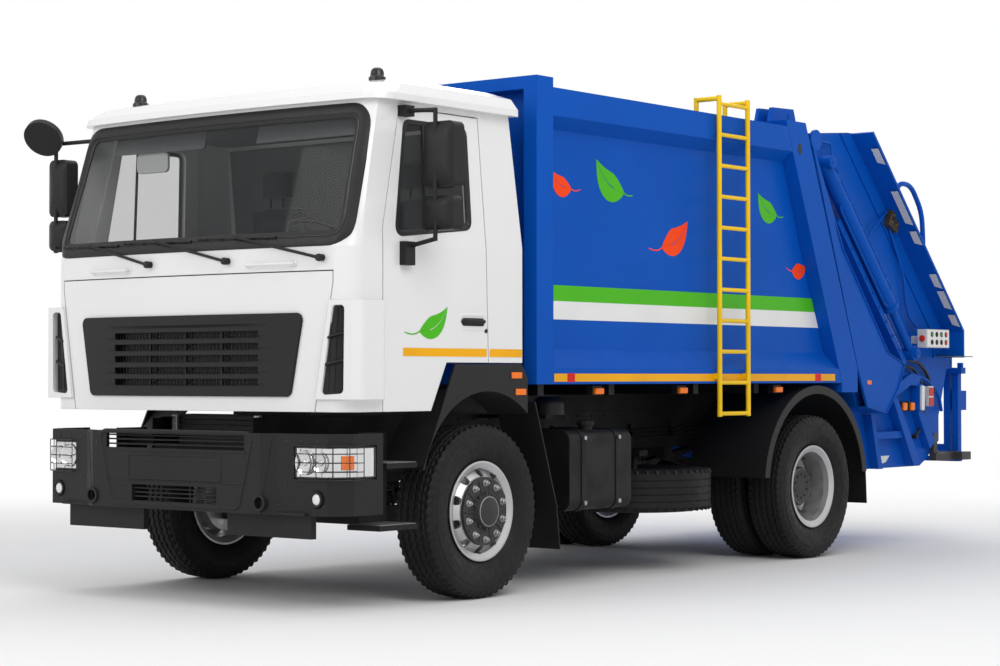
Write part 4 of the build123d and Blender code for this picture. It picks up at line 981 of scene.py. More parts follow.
bm = bmesh.new()
for z in (0.745, 0.790, 0.840, 0.890, 0.935):
    bar(bm, lamp_row(LAMP_PATH[:-2], z, -0.020), 0.0028, sides=6)
for i in (0, 2, 4, 6, 8):
    base = lamp_row(LAMP_PATH[:-2], 0.745, -0.020)[i]
    bar(bm, [base, base + Vector((0, 0, 0.190))], 0.0028, sides=6)
twin(bm)
piece("lamp_guards", bm, "chassis", "gloss_black")

# %% [markdown]
# ## Leaves and stripes
# The livery is self-adhesive film: a few leaves, a green and a white stripe, and reflective tape
# along the sill. Painting it in a texture would need image files, so each mark is a thin skin laid
# a millimetre off the panel. A leaf is drawn from a curved spine and a width that swells and
# tapers, in two halves, so that the panel's own colour shows through as the vein.

# %% Leaf helper
FILM, STEM_FILM = 0.0012, 0.0016


def wall_x(z):
    """Half width of the container's side wall at a height."""
    if z < 1.49:
        return 1.250 - 0.100 * max(0.0, z - 1.37) / 0.12
    if z < 2.86:
        return 1.150 - 0.008 * (1 - abs(z - 2.20) / (0.71 if z < 2.20 else 0.66))
    return 1.150 + 0.1 * (z - 2.86) / 0.07


def leaf(bm, base, tip, width, bend, lay, curl=0.25):
    """A leaf from base to tip, its spine bent sideways, with a stem that curls back."""
    base, tip = Vector(base), Vector(tip)
    along = tip - base
    across_way = Vector((-along.y, along.x))

    def spine(t):
        return base + along * t + across_way * bend * math.sin(math.pi * t)

    for side in (-1, 1):
        rows = []
        for step in range(21):
            t = step / 20
            swell = width * math.sin(math.pi * t ** 0.78) ** 1.1 * (1.1 if side > 0 else 0.9)
            vein = 0.035 * width * (1 - t) + 0.002
            here = spine(t)
            way = (spine(t + 0.01) - spine(t - 0.01)).normalized()
            out_way = Vector((-way.y, way.x)) * side
            reach = max(swell * along.length, vein * along.length * 0.2)
            inner = vein * along.length
            rows.append([lay(*(here + out_way * (inner + (reach - inner) * k / 4)), FILM) for k in range(5)])
        strip(bm, rows)
    stem = []
    for step in range(11):
        t = step / 10
        here = spine(0.30).lerp(base, min(1.0, t * 2)) if t < 0.5 else base - along * curl * (t - 0.5) * 2
        here = here - across_way * math.copysign(curl, bend) * 0.55 * max(0.0, t - 0.5) ** 2 * 4
        stem.append((here, 0.011 * (1 - 0.55 * t) * along.length + 0.002))
    rows = []
    for i, (here, half) in enumerate(stem):
        way = (stem[min(i + 1, 10)][0] - stem[max(i - 1, 0)][0]).normalized()
        out_way = Vector((-way.y, way.x))
        rows.append([lay(*(here + out_way * half), STEM_FILM), lay(*(here - out_way * half), STEM_FILM)])
    strip(bm, rows)


def on_wall(sign):
    """A function that raises points off the container's side wall."""
    return lambda y, z, raised: at(sign * (wall_x(z) + raised), y, z)


# Base, tip, width, bend and curl of each leaf on the container's side
RED_LEAVES = (((0.955, 2.500), (0.735, 2.610), 0.26, 0.14, 0.34),
              ((1.965, 2.175), (2.275, 2.372), 0.25, -0.14, 0.36),
              ((3.625, 2.082), (3.835, 2.126), 0.27, -0.12, 0.32))
GREEN_LEAVES = (((1.530, 2.510), (1.215, 2.715), 0.25, 0.14, 0.22),
                ((3.420, 2.470), (3.160, 2.620), 0.26, 0.14, 0.26))
for side_name, sign in SIDES:
    for label, leaves, finish_name in (("red", RED_LEAVES, "leaf_red"),
                                       ("green", GREEN_LEAVES, "leaf_green")):
        bm = bmesh.new()
        for base, tip, width, bend, curl in leaves:
            leaf(bm, base, tip, width, bend, on_wall(sign), curl)
        piece(f"{side_name}_{label}_leaves", bm, "chassis", finish_name)
    bm = bmesh.new()
    leaf(bm, (-0.630, 1.575), (-0.375, 1.725), 0.22, -0.16, on_door(sign), 0.38)
    piece(f"{side_name}_door_leaf", bm, f"{side_name}_door", "leaf_green")

# %% [markdown]
# The stripes and tapes are bands along the wall. Each is a fine grid, so that it follows the
# wall's shallow crease and stops at the slanted rear post.

# %% Stripes and tapes


def post_y(z):
    """Station of the slanted rear post's front edge."""
    return 3.380 + (3.150 - z) * 0.780 / 1.880


def band(bm, y0, y1, z0, z1, lay, slanted=False):
    """A flat band between two stations and heights."""
    rows = []
    for i in range(5):
        z = z0 + (z1 - z0) * i / 4
        stop = post_y(z) - 0.004 if slanted else y1
        rows.append([lay(y0 + (stop - y0) * k / 24, z, FILM) for k in range(25)])
    strip(bm, rows)


for side_name, sign in SIDES:
    lay = on_wall(sign)
    for label, z0, z1, finish_name in (("green_stripe", 1.790, 1.890, "leaf_green"),
                                       ("white_stripe", 1.675, 1.790, "stripe_white")):
        bm = bmesh.new()
        band(bm, 0.634, 0, z0, z1, lay, slanted=True)
        piece(f"{side_name}_{label}", bm, "chassis", finish_name)
    bm = bmesh.new()
    for y0, y1 in ((0.636, 0.770), (0.850, 3.770), (3.855, 4.056)):
        band(bm, y0, y1, 1.286, 1.336, lay)
    piece(f"{side_name}_sill_tape", bm, "chassis", "tape_yellow")
    bm = bmesh.new()
    for y0, y1 in ((0.770, 0.850), (3.770, 3.855)):
        band(bm, y0, y1, 1.284, 1.338, lay)
    piece(f"{side_name}_sill_reflectors", bm, "chassis", "tape_red")
    bm = bmesh.new()
    band(bm, -0.770, -0.014, 1.434, 1.482, on_door(sign))
    piece(f"{side_name}_door_tape", bm, f"{side_name}_door", "tape_yellow")
    bm = bmesh.new()
    band(bm, 0.014, 0.326, 1.434, 1.482, on_door(sign))
    piece(f"{side_name}_cab_tape", bm, "cab", "tape_yellow")

# %% [markdown]
# ## Side marker lamps
# Small amber lamps hang under the sill and sit on the wheel arches. Each is a rounded block with a
# black foot. They're separate from the tape because a lens is smooth and stands proud of the panel.

# %% Side markers
bm, feet = bmesh.new(), bmesh.new()
for y, z in ((1.159, 1.225), (2.115, 1.225), (3.330, 1.225)):
    block(bm, 1.196, 1.222, y - 0.045, y + 0.045, z - 0.020, z + 0.020)
    block(feet, 1.150, 1.198, y - 0.052, y + 0.052, z - 0.026, z + 0.035)
twin(bm)
twin(feet)
piece("sill_lamps", bm, "chassis", "amber_lens", bevel=0.006)
piece("sill_lamp_feet", feet, "chassis", "black_plastic", bevel=0.004)
bm = bmesh.new()
for y, z in ((0.271, 1.325), (0.311, 1.225)):
    block(bm, 1.239, 1.248, y - 0.050, y + 0.050, z - 0.019, z + 0.019)
twin(bm)
piece("arch_lamps", bm, "cab", "amber_lens", bevel=0.003)

# %% [markdown]
# ## Door handles
# A pull handle sits in a shallow dish: a raised white rim round a dark hollow, a bar across it and
# a round lock. A real dish would need a cut in the door, so the hollow is drawn by a dark plate
# of painted shade with the rim standing round it, which reads the same at arm's length.

# %% Handles
DISH = oblong(-0.262, -0.020, 1.598, 1.678)
for side_name, sign in SIDES:
    lay = on_door(sign)
    dish = subdivided(rounded_outline(DISH, 0.034), 0.03)
    bm = bmesh.new()
    border(bm, dish, [(0.012, 0.000), (0.006, 0.004), (0.000, 0.004), (-0.010, 0.001), (-0.036, 0.001)], lay)
    piece(f"{side_name}_handle_dish", bm, f"{side_name}_door", "white_paint")
    bm = bmesh.new()
    # The dark plate is painted shade for the dish's hollow.
    plate(bm, rounded_outline(oblong(-0.245, -0.040, 1.615, 1.662), 0.02), on_side if sign > 0 else on_right,
          1.238, 1.2425)
    bar(bm, [at(sign * 1.240, -0.250, 1.640), at(sign * 1.258, -0.225, 1.642),
             at(sign * 1.260, -0.120, 1.642), at(sign * 1.258, -0.060, 1.642),
             at(sign * 1.240, -0.038, 1.640)], 0.013, bend=0.02, flat=0.7, sides=12)
    turned(bm, [(0, 0), (0, 0.014), (0.006, 0.012), (0.007, 0)], at(sign * 1.2405, -0.022, 1.588),
           (sign, 0, 0), 20)
    piece(f"{side_name}_handle", bm, f"{side_name}_door", "black_plastic", bevel=0.001)

# %% [markdown]
# ## Mirrors, wipers and beacons
# The mirrors' glass faces the rear, where the driver looks. The wipers need rubber blades and the
# small claws that spread their load, and each beacon is a turned dome on a stepped foot, which
# replaces the CAD model's plain discs.

# %% Mirrors and beacons
for name, body, x, z, width, height, front in (("left_main", "left_door", 1.455, 2.573, 0.225, 0.375, -0.709),
                                               ("left_wide", "left_door", 1.445, 2.243, 0.225, 0.195, -0.709),
                                               ("right_main", "cab", -1.418, 2.510, 0.170, 0.360, -1.037),
                                               ("right_wide", "cab", -1.418, 2.210, 0.170, 0.190, -1.037)):
    w, h = width / 2 - 0.014, height / 2 - 0.014
    shape = rounded_outline(oblong(x - w, x + w, z - h, z + h), 0.03)
    bm = bmesh.new()
    plate(bm, shape, on_front, front + 0.088, front + 0.0915)
    piece(f"{name}_mirror_glass", bm, body, "lamp_socket", bevel=0.001)
    w, h = width / 2 - 0.002, height / 2 - 0.002
    shape = subdivided(rounded_outline(oblong(x - w, x + w, z - h, z + h), 0.04), 0.04)
    bm = bmesh.new()
    dome_rows = []
    for inset, raised in ((0.000, 0.000), (0.012, 0.012), (0.03, 0.022), (0.055, 0.028), (0.08, 0.030)):
        ring = []
        for p in shape:
            towards = Vector((x, z)) - p
            q = p + towards * min(1.0, inset / min(width, height) * 2)
            ring.append(at(q.x, front + 0.004 - raised, q.y))
        dome_rows.append(ring)
    grid = strip(bm, dome_rows, closed=True)
    bm.faces.new(grid[-1])
    piece(f"{name}_mirror_back", bm, body, "black_plastic", angle=60, clean=True)

bm = bmesh.new()
for x in (-1.0, 1.0):
    turned(bm, [(3.006, 0), (3.006, 0.052), (3.044, 0.051), (3.047, 0.046), (3.052, 0.042), (3.074, 0.040),
                (3.090, 0.034), (3.099, 0.022), (3.102, 0.0)], at(x, -0.72, 0), (0, 0, 1), 36)
piece("beacon_domes", bm, "cab", "gloss_black", replaces=["roof_beacons"], angle=50, clean=True)

# %% Wiper blades
WIPERS = ((-1.140, -0.594, -0.290), (-0.541, 0.053, 0.357), (0.112, 0.718, 1.056))
bm = bmesh.new()
for tip_x, heel_x, pivot_x in WIPERS:
    for k in range(5):
        x = tip_x + (heel_x - tip_x) * (k + 0.5) / 5
        z = 2.116 - 0.012 * (k + 0.5) / 5
        bar(bm, [on_nose(x - 0.03, z, 0.012), on_nose(x, z, 0.024), on_nose(x + 0.03, z, 0.012)], 0.005,
            bend=0.02, sides=6)
    line = [on_nose(tip_x + (heel_x - tip_x) * k / 12, 2.116 - 0.012 * k / 12, 0.005) for k in range(13)]
    bar(bm, line, 0.006, sides=6, flat=0.5)
    turned(bm, [(0, 0), (0, 0.022), (0.010, 0.020), (0.014, 0.010), (0.014, 0)],
           on_nose(pivot_x, 1.980, 0.030), (0, -1, 0), 20)
piece("wiper_blades", bm, "cab", "rubber_seal")

# %% [markdown]
# ## Grab handles and nose details
# Two white grab handles sit under the screen for whoever cleans it. They're bent bars on small
# feet, kept as slim as the real ones.

# %% Nose
bm = bmesh.new()
for x0, x1 in ((-0.816, -0.485), (0.514, 0.856)):
    y0, y1 = front_skin(x0, 1.95), front_skin(x1, 1.95)
    bar(bm, [at(x0, y0 + 0.01, 1.952), at(x0, y0 - 0.034, 1.952), at(x1, y1 - 0.034, 1.952),
             at(x1, y1 + 0.01, 1.952)], 0.009, bend=0.02)
    for x, y in ((x0, y0), (x1, y1)):
        turned(bm, [(-0.004, 0), (-0.004, 0.020), (0.003, 0.020), (0.006, 0.012), (0.006, 0)],
               at(x, y, 1.952), (0, -1, 0), 16)
piece("grab_handles", bm, "cab", "white_paint")

# %% [markdown]
# ## Bumper
# The bumper is one grained moulding with three parts: two corner caps and a middle with a raised
# frame, a blank plate shelf and two intakes. Thin strips give its joints and steps; the rubbery
# grain comes from the finish.

# %% Bumper details


def bumper_y(x):
    """Station of the bumper's face at a width."""
    x = abs(x)
    if x < 0.700:
        return -1.372
    return -1.372 + 0.44 * (x - 0.700) if x < 0.800 else -1.328 + 0.08 * (x - 0.800)


def on_bumper(x, z, raised):
    """A point raised off the bumper."""
    return at(x, bumper_y(x) - raised, z)


bm = bmesh.new()
frame_line = subdivided(rounded_outline([(-0.530, 0.572), (0.530, 0.572), (0.640, 0.995), (-0.640, 0.995)],
                                        0.05), 0.05)
border(bm, frame_line, [(0.016, -0.001), (0.008, 0.006), (-0.004, 0.006), (-0.012, -0.001)], on_bumper)
plate_line = subdivided(rounded_outline(oblong(-0.385, 0.385, 0.722, 0.862), 0.012, 3), 0.05)
border(bm, plate_line, [(0.010, -0.001), (0.005, 0.004), (-0.004, 0.004), (-0.009, -0.001)], on_bumper)
for z in (0.888, 0.712):
    bar(bm, [on_bumper(x / 10, z, -0.001) for x in (-5.9, -3, 0, 3, 5.9)], 0.006, flat=0.7)
for z in (0.922, 0.950, 0.975):
    bar(bm, [at(x / 10, -1.355, z) for x in (-5.75, 0, 5.75)], 0.006, flat=0.6)
for z in (0.615, 0.640, 0.665):
    bar(bm, [at(x / 10, -1.355, z) for x in (-3.52, 0, 3.52)], 0.006, flat=0.6)
for x in (-0.12, 0.12):
    bar(bm, [at(x, -1.352, 0.592), at(x, -1.352, 0.684)], 0.005)
piece("bumper_frame", bm, "chassis", "black_plastic")
bm = bmesh.new()
for sign in (1, -1):
    bar(bm, [on_bumper(sign * (0.700 + 0.07 * k / 8), 0.548 + 0.44 * k / 8, 0.0006) for k in range(9)],
        0.0022, sides=6)
    for x, z in ((0.86, 0.955), (0.97, 0.958), (1.08, 0.958), (0.86, 0.715), (1.12, 0.60), (0.80, 0.60),
                 (0.66, 0.93)):
        turned(bm, [(-0.001, 0), (-0.001, 0.009), (0.003, 0.007), (0.004, 0)], on_bumper(sign * x, z, 0),
               (0, -1, 0), 12)
piece("bumper_joints", bm, "chassis", "gloss_black")
bm = bmesh.new()
for x in (-0.345, 0.345):
    block(bm, x - 0.022, x + 0.022, -1.042, -1.015, 0.985, 1.092)
    bolt(bm, at(x, -1.042, 1.035), (0, -1, 0), 0.010, 0.009, 0.006)
piece("cooler_brackets", bm, "chassis", "zinc", bevel=0.004)
bm = bmesh.new()
for k in range(14):
    bar(bm, [at(-0.33, -1.018, 0.70 + 0.03 * k), at(0.33, -1.018, 0.70 + 0.03 * k)], 0.006, flat=0.5, sides=6)
piece("cooler_fins", bm, "chassis", "grey_casting")

# %% [markdown]
# ## Steps, tank and spare wheel
# Steps carry anti-slip plate, the fuel tank has a ribbed cap and the spare wheel shows a silver
# disc. They're dressed with thin plates and turned parts.

# %% Running-board details
bm = bmesh.new()
for z, y0 in ((0.830, -0.915), (0.480, -0.975)):
    block(bm, 1.008, 1.240, y0 + 0.006, -0.658, z + 0.0002, z + 0.004)
twin(bm)
piece("step_plates", bm, "chassis", "tread_plate", bevel=0.001)
bm = bmesh.new()
turned(bm, [(1.005, 0), (1.005, 0.052), (1.012, 0.054), (1.034, 0.052), (1.040, 0.040), (1.042, 0)],
       at(1.08, 1.19, 0), (0, 0, 1), 28)
for k in range(14):
    a = 2 * math.pi * k / 14
    bar(bm, [at(1.08 + 0.053 * math.cos(a), 1.19 + 0.053 * math.sin(a), 1.010),
             at(1.08 + 0.053 * math.cos(a), 1.19 + 0.053 * math.sin(a), 1.036)], 0.004, sides=6)
piece("fuel_cap", bm, "chassis", "black_plastic")
bm = bmesh.new()
for y in (0.9825, 1.3525):
    for z in (0.52, 0.93):
        bolt(bm, at(1.186, y + 0.055, z), (1, 0, 0), 0.016, 0.015, 0.012)
piece("strap_bolts", bm, "chassis", "zinc", bevel=0.001)
SPARE = at(0.680, 2.300, 0.550)
bm = bmesh.new()
turned(bm, [(0.026, 0.060), (0.026, 0.262), (0.095, 0.266), (0.114, 0.297), (0.1165, 0.299), (0.116, 0.286),
            (0.100, 0.256), (0.034, 0.248), (0.030, 0.060)], SPARE, (0, 0, 1), 64)
piece("spare_rim_face", bm, "chassis", "rim_silver", clean=True)
bm = bmesh.new()
for middle, half in ((-0.094, 0.019), (-0.047, 0.020), (0, 0.020), (0.047, 0.020), (0.094, 0.019)):
    turned(bm, [(middle - half, 0.505), (middle - half, 0.5265), (middle + half, 0.5265),
                (middle + half, 0.505)], SPARE, (0, 0, 1), 96)
for k in range(48):
    turn = Vector((math.cos(2 * math.pi * k / 48), math.sin(2 * math.pi * k / 48), 0))
    for z in (-1, 1):
        bar(bm, [SPARE + turn * 0.523 + Vector((0, 0, z * 0.108)),
                 SPARE + turn * 0.512 + Vector((0, 0, z * 0.136))], 0.012, sides=6, flat=0.6)
piece("spare_tread", bm, "chassis", "tyre_rubber")

# %% [markdown]
# ## Frame, springs and pipes
# Under the body a truck is full of rivets, spring leaves, clamps and air pipes. They are what
# makes it look made, so the rails get rivet heads, the spring packs get leaf edges and U-bolts,
# and rigid pipes run along the rails in clips.

# %% Underside details
bm = bmesh.new()
for sign in (1, -1):
    for y in [0.55 + 0.16 * k for k in range(24)]:
        for z in (0.845, 1.045):
            turned(bm, [(-0.001, 0), (-0.001, 0.011), (0.005, 0.008), (0.007, 0)], at(sign * 0.425, y, z),
                   (sign, 0, 0), 10)
piece("rail_rivets", bm, "chassis", "frame_black")
bm = bmesh.new()
for front_eye, rear_eye, low_z, eye_z in ((-0.72, 0.72, 0.530, 0.700), (3.10, 4.54, 0.593, 0.720)):
    middle = (front_eye + rear_eye) / 2
    for k in range(5):
        z_mid, z_eye = low_z + 0.012 + 0.013 * k, eye_z + 0.004 + 0.008 * k
        half = 0.34 + 0.09 * k
        share = 1 - (0.72 - half) / 0.6
        z_end = z_mid + (z_eye - z_mid) * max(0.15, share)
        for way in (-1, 1):
            bar(bm, [at(0.4225, middle, z_mid), at(0.4225, middle + way * 0.12, z_mid),
                     at(0.4225, middle + way * half, z_end)], 0.0035, sides=6)
    for y in (middle - 0.075, middle + 0.075):
        for x in (0.352, 0.424):
            bar(bm, [at(x, y, low_z - 0.05), at(x, y, low_z + 0.115)], 0.010)
        bar(bm, [at(0.352, y, low_z + 0.115), at(0.424, y, low_z + 0.115)], 0.010)
twin(bm)
piece("spring_leaves", bm, "chassis", "grey_casting")
bm = bmesh.new()
for z, x in ((0.905, 0.440), (0.930, 0.440), (0.962, 0.444)):
    path = [at(x, 0.70, z), at(x, 1.9, z), at(x, 2.0, z - 0.02), at(x, 3.2, z - 0.02), at(x, 3.3, z + 0.01),
            at(x, 4.35, z + 0.01)]
    bar(bm, path, 0.007, bend=0.04, sides=8)
    for y in (1.1, 1.7, 2.6, 3.1, 3.9):
        block(bm, 0.425, 0.452, y - 0.010, y + 0.010, z - 0.028, z + 0.020)
twin(bm)
piece("frame_pipes", bm, "chassis", "black_plastic")
print("underside done")

# %% [markdown]
# ## The tailgate's outside
# The tailgate is the busiest part: reflective patches down its rear flange, lamps in rubber
# boxes, a white button box, pipes clipped beside the rams, and a mat on the hopper's sill. Flat
# patches are laid on the flange's inner face, which slopes at forty-five degrees.

# %% Reflective patches and lamps
PATCHES = ((4.744, 0.115), (5.050, 0.250), (5.345, 0.105), (5.668, 0.112), (5.800, 0.145), (5.985, 0.095))
PATCH_X0, PATCH_X1 = 1.182, 1.243
bm = bmesh.new()
for start, length in PATCHES:
    rows = []
    for k in range(7):
        y = start + length * k / 6
        z = 7.8035 - y - 0.007
        lean = 0.018 * (k / 6)
        rows.append([at(PATCH_X0 - 0.004 + (PATCH_X1 - PATCH_X0) * m / 4, y - 0.007 - lean * (1 - m / 4),
                        z + lean * (1 - m / 4)) for m in range(5)])
    strip(bm, rows)
plate(bm, [(4.984, 0.618), (5.176, 0.650), (5.236, 0.700), (4.925, 0.700)], on_side, 1.0505, 1.0525)
twin(bm)
piece("flange_patches", bm, "tailgate", "tape_white")
# Dark ovals on the rear posts stand for their holes: painted shade inside each hole.
bm = bmesh.new()
HOLE_Y, HOLE_Z, HOLE_HALF_WIDTH, HOLE_HALF_HEIGHT = 3.569, 2.955, 0.026, 0.042
turns = [math.pi * k / 12 for k in range(24)]
rim = [(HOLE_Y + HOLE_HALF_WIDTH * math.cos(t), HOLE_Z + HOLE_HALF_HEIGHT * math.sin(t)) for t in turns]
plate(bm, rim, on_side, 1.249, 1.2508)
twin(bm)
piece("post_hole_shades", bm, "chassis", "rubber_seal", clean=True)

bm, boxes = bmesh.new(), bmesh.new()
for y in (5.350, 5.473):
    plate(bm, oblong(y - 0.032, y + 0.032, 1.052, 1.112), on_side, 1.118, 1.136)
    plate(boxes, oblong(y - 0.040, y + 0.040, 1.044, 1.120), on_side, 1.050, 1.119)
plate(bm, oblong(4.545, 4.625, 1.255, 1.290), on_side, 1.230, 1.241)
twin(bm)
twin(boxes)
piece("tail_markers", bm, "tailgate", "amber_lens", bevel=0.005)
piece("marker_boxes", boxes, "tailgate", "black_plastic", bevel=0.006)
bm = bmesh.new()
for z, height in ((1.115, 0.068), (1.195, 0.068)):
    plate(bm, rounded_outline(oblong(5.783, 5.857, z - height / 2, z + height / 2), 0.012), on_side, 1.108,
          1.116)
twin(bm)
piece("tail_lamp_lenses", bm, "tailgate", "red_lens", bevel=0.003)
bm = bmesh.new()
plate(bm, rounded_outline([(5.592, 1.050), (5.640, 1.046), (5.648, 1.240), (5.596, 1.252)], 0.02), on_side,
      1.128, 1.150)
twin(bm)
piece("work_lamps", bm, "tailgate", "lamp_lens", bevel=0.006)
bm = bmesh.new()
plate(bm, rounded_outline([(5.580, 1.036), (5.652, 1.032), (5.660, 1.254), (5.584, 1.266)], 0.024), on_side,
      1.050, 1.130)
twin(bm)
piece("work_lamp_boxes", bm, "tailgate", "blue_paint", bevel=0.006)

# %% [markdown]
# ## Button box
# The crew works the packer from a pale box with two rows of buttons. Each button is a turned cap
# in a black ring, with green to start and red to stop, and a big red mushroom faces forward.

# %% Buttons
box_faces = bmesh.new()
plate(box_faces, rounded_outline(oblong(5.512, 5.868, 1.552, 1.683), 0.012), on_side, 1.239, 1.2435)
piece("button_panel", box_faces, "tailgate", "stripe_white", bevel=0.001)
caps = {"black": bmesh.new(), "green": bmesh.new(), "red": bmesh.new()}
for column in range(4):
    for row in range(2):
        spot = at(1.2435, 5.585 + 0.078 * column, 1.588 + 0.062 * row)
        colour = "red" if column == 3 else "green" if (column, row) in ((0, 1), (2, 1)) else "black"
        turned(caps["black"], [(-0.001, 0.012), (-0.001, 0.021), (0.003, 0.021), (0.003, 0.012)], spot,
               (1, 0, 0), 20)
        turned(caps[colour], [(-0.001, 0), (-0.001, 0.0135), (0.0045, 0.0130), (0.006, 0.009), (0.006, 0)],
               spot, (1, 0, 0), 20)
turned(caps["red"], [(0.0, 0), (0.0, 0.018), (0.006, 0.026), (0.014, 0.022), (0.018, 0)],
       at(1.205, 5.500, 1.618), (0, -1, 0), 24)
for colour, finish_name in (("black", "black_plastic"), ("green", "button_green"), ("red", "button_red")):
    piece(f"buttons_{colour}", caps[colour], "tailgate", finish_name, angle=50, clean=True)

# %% [markdown]
# ## Rams, pipes and valve
# Steel pipes carry oil to the rams. They run beside them in clips, so they're bent bars with
# rounded corners. Caps, grease nipples and bolt heads finish the pins, and the brownish valve
# block with its stub pipes sits on the wall behind the ram.

# %% Pipework
SLIDE = Vector((0, math.cos(math.radians(46)), -math.sin(math.radians(46))))


def slide(distance, off, x):
    """A point up the packer's slide from its pin, and off to the rear."""
    y = 5.420 - distance * SLIDE.y - off * SLIDE.z
    z = 1.500 - distance * SLIDE.z + off * SLIDE.y
    return at(x, y, z)


bm = bmesh.new()
for off, x, stop in ((0.082, 1.150, 1.80), (0.104, 1.150, 1.70), (-0.080, 1.172, 1.55)):
    bar(bm, [slide(0.56, off * 0.75, x), slide(0.60, off, x), slide(stop, off, x),
             slide(stop + 0.03, off * 0.7, x)], 0.010, bend=0.03)
for k in range(5):
    place = 0.70 + 0.26 * k
    bar(bm, [slide(place, 0.045, 1.150), slide(place, 0.118, 1.150)], 0.016, sides=8)
bar(bm, [slide(1.70, 0.104, 1.15), slide(1.86, 0.16, 1.12), at(1.085, 4.30, 3.06), at(1.075, 3.98, 3.075)],
    0.010, bend=0.08)
bar(bm, [at(1.075, 5.16, 2.60), at(1.09, 5.05, 2.54), at(1.09, 4.86, 2.42), at(1.10, 4.78, 2.30)], 0.010,
    bend=0.06)
bar(bm, [at(1.075, 5.20, 2.48), at(1.085, 5.30, 2.30), at(1.085, 5.42, 2.10), at(1.075, 5.46, 1.92)], 0.010,
    bend=0.06)
bar(bm, [at(1.075, 5.46, 1.92), at(1.085, 5.50, 1.78), at(1.085, 5.62, 1.71)], 0.010, bend=0.05)
for start, stop in (((5.15, 1.30), (5.62, 1.33)), ((5.62, 1.33), (5.95, 1.22)), ((5.95, 1.22), (6.06, 1.04))):
    bar(bm, [at(1.075, *start), at(1.085, (start[0] + stop[0]) / 2, (start[1] + stop[1]) / 2 + 0.02),
             at(1.075, *stop)], 0.014, bend=0.1)
twin(bm)
piece("oil_pipes", bm, "tailgate", "blue_paint")
bm = bmesh.new()
bar(bm, [at(1.072, 5.24, 1.40), at(1.088, 5.40, 1.445), at(1.088, 5.62, 1.44), at(1.078, 5.80, 1.36),
         at(1.072, 5.92, 1.20)], 0.013, bend=0.09)
bar(bm, [at(1.072, 5.28, 1.36), at(1.085, 5.44, 1.40), at(1.085, 5.58, 1.38), at(1.075, 5.70, 1.28)], 0.011,
    bend=0.09)
bar(bm, [at(1.072, 5.72, 1.28), at(1.086, 5.76, 1.12), at(1.086, 5.70, 0.92), at(1.072, 5.62, 0.84)], 0.011,
    bend=0.09)
for y, z in ((5.24, 1.40), (5.92, 1.20), (5.28, 1.36), (5.70, 1.28), (5.62, 0.84)):
    turned(bm, [(-0.02, 0), (-0.02, 0.019), (0.012, 0.019), (0.020, 0.014), (0.020, 0)], at(1.072, y, z),
           (1, 0, 0), 6)
twin(bm)
piece("black_pipes", bm, "tailgate", "rubber_seal")
bm = bmesh.new()
plate(bm, [(5.130, 2.500), (5.260, 2.440), (5.320, 2.560), (5.200, 2.640)], on_side, 1.049, 1.118)
for y, z in ((5.17, 2.52), (5.21, 2.58), (5.25, 2.50), (5.27, 2.56)):
    turned(bm, [(1.116, 0), (1.116, 0.018), (1.126, 0.016), (1.130, 0.010), (1.130, 0)], at(0, y, z),
           (1, 0, 0), 8)
piece("valve_block", bm, "tailgate", "brown_valve", bevel=0.006)

for body, y, z, x, r in (("carriage", 5.420, 1.500, 1.205, 0.038), ("tailgate", 4.069, 2.899, 1.230, 0.048),
                         ("lift_rods", 4.830, 1.130, 1.220, 0.032),
                         ("lift_tubes", 3.600, 2.960, 1.223, 0.042)):
    bm = bmesh.new()
    turned(bm, [(-0.002, 0), (-0.002, r), (0.004, r * 0.95), (0.007, r * 0.6), (0.007, 0)], at(x, y, z),
           (1, 0, 0), 24)
    bolt(bm, at(x, y, z), (1, 0, 0), 0.010, 0.009, 0.014, foot=0.006)
    twin(bm)
    piece(f"{body}_pin_caps", bm, body, "blue_paint", angle=50, clean=True)

# %% [markdown]
# ## Tailgate rails and bolts
# A bent grab tube arches over the rear flange, and rows of bolt heads hold the wear plates.

# %% Rails and bolts
bm = bmesh.new()
TUBE_LINE = ((5.130, 2.700), (5.230, 2.830), (5.420, 2.820), (5.600, 2.620), (5.620, 2.330), (5.540, 2.262))
bar(bm, [at(1.150, y, z) for y, z in TUBE_LINE], 0.020, bend=0.11, sides=14)
twin(bm)
piece("grab_tubes", bm, "tailgate", "blue_paint")
bm = bmesh.new()
for k in range(15):
    x = -1.05 + 0.15 * k
    bolt(bm, at(x, 6.460, 1.365), (0, 1, 0), 0.013, 0.012, 0.009)
for x in (-1.015, 1.015):
    for z in (1.06, 1.12, 1.18):
        bolt(bm, at(x, 6.551, z), (0, 1, 0), 0.012, 0.011, 0.008)
piece("comb_bolts", bm, "bin_lifter", "zinc")
bm = bmesh.new()
for y, z in ((4.66, 1.30), (4.75, 1.18), (5.00, 1.32), (5.33, 0.86), (5.10, 0.86), (4.98, 0.86),
             (5.60, 1.30)):
    bolt(bm, at(1.060, y, z), (1, 0, 0), 0.014, 0.013, 0.009)
for k in range(9):
    spot = slide(0.15 + 0.15 * k, -0.118, 1.145)
    bolt(bm, spot, (1, 0, 0), 0.012, 0.011, 0.008)
twin(bm)
piece("wall_bolts", bm, "tailgate", "blue_paint")
bm = bmesh.new()
plate(bm, oblong(5.985, 6.295, 1.4755, 1.482), on_side, 1.052, 1.240)
piece("sill_mats", bm, "tailgate", "grass_mat", bevel=0.002)

# %% [markdown]
# ## Seats
# A driver's seat is foam under woven cloth. Blocks with bevels look hard, so each cushion starts
# as a slightly small rounded form, is remeshed finely and then swells under the pressure of a
# short cloth simulation, which leaves it crowned between its edges. A limit on each point's travel
# keeps it inside the seat's own space. The left seat's three parts are simulated, and the right
# seat has copies of them.

# %% Stuffing helper


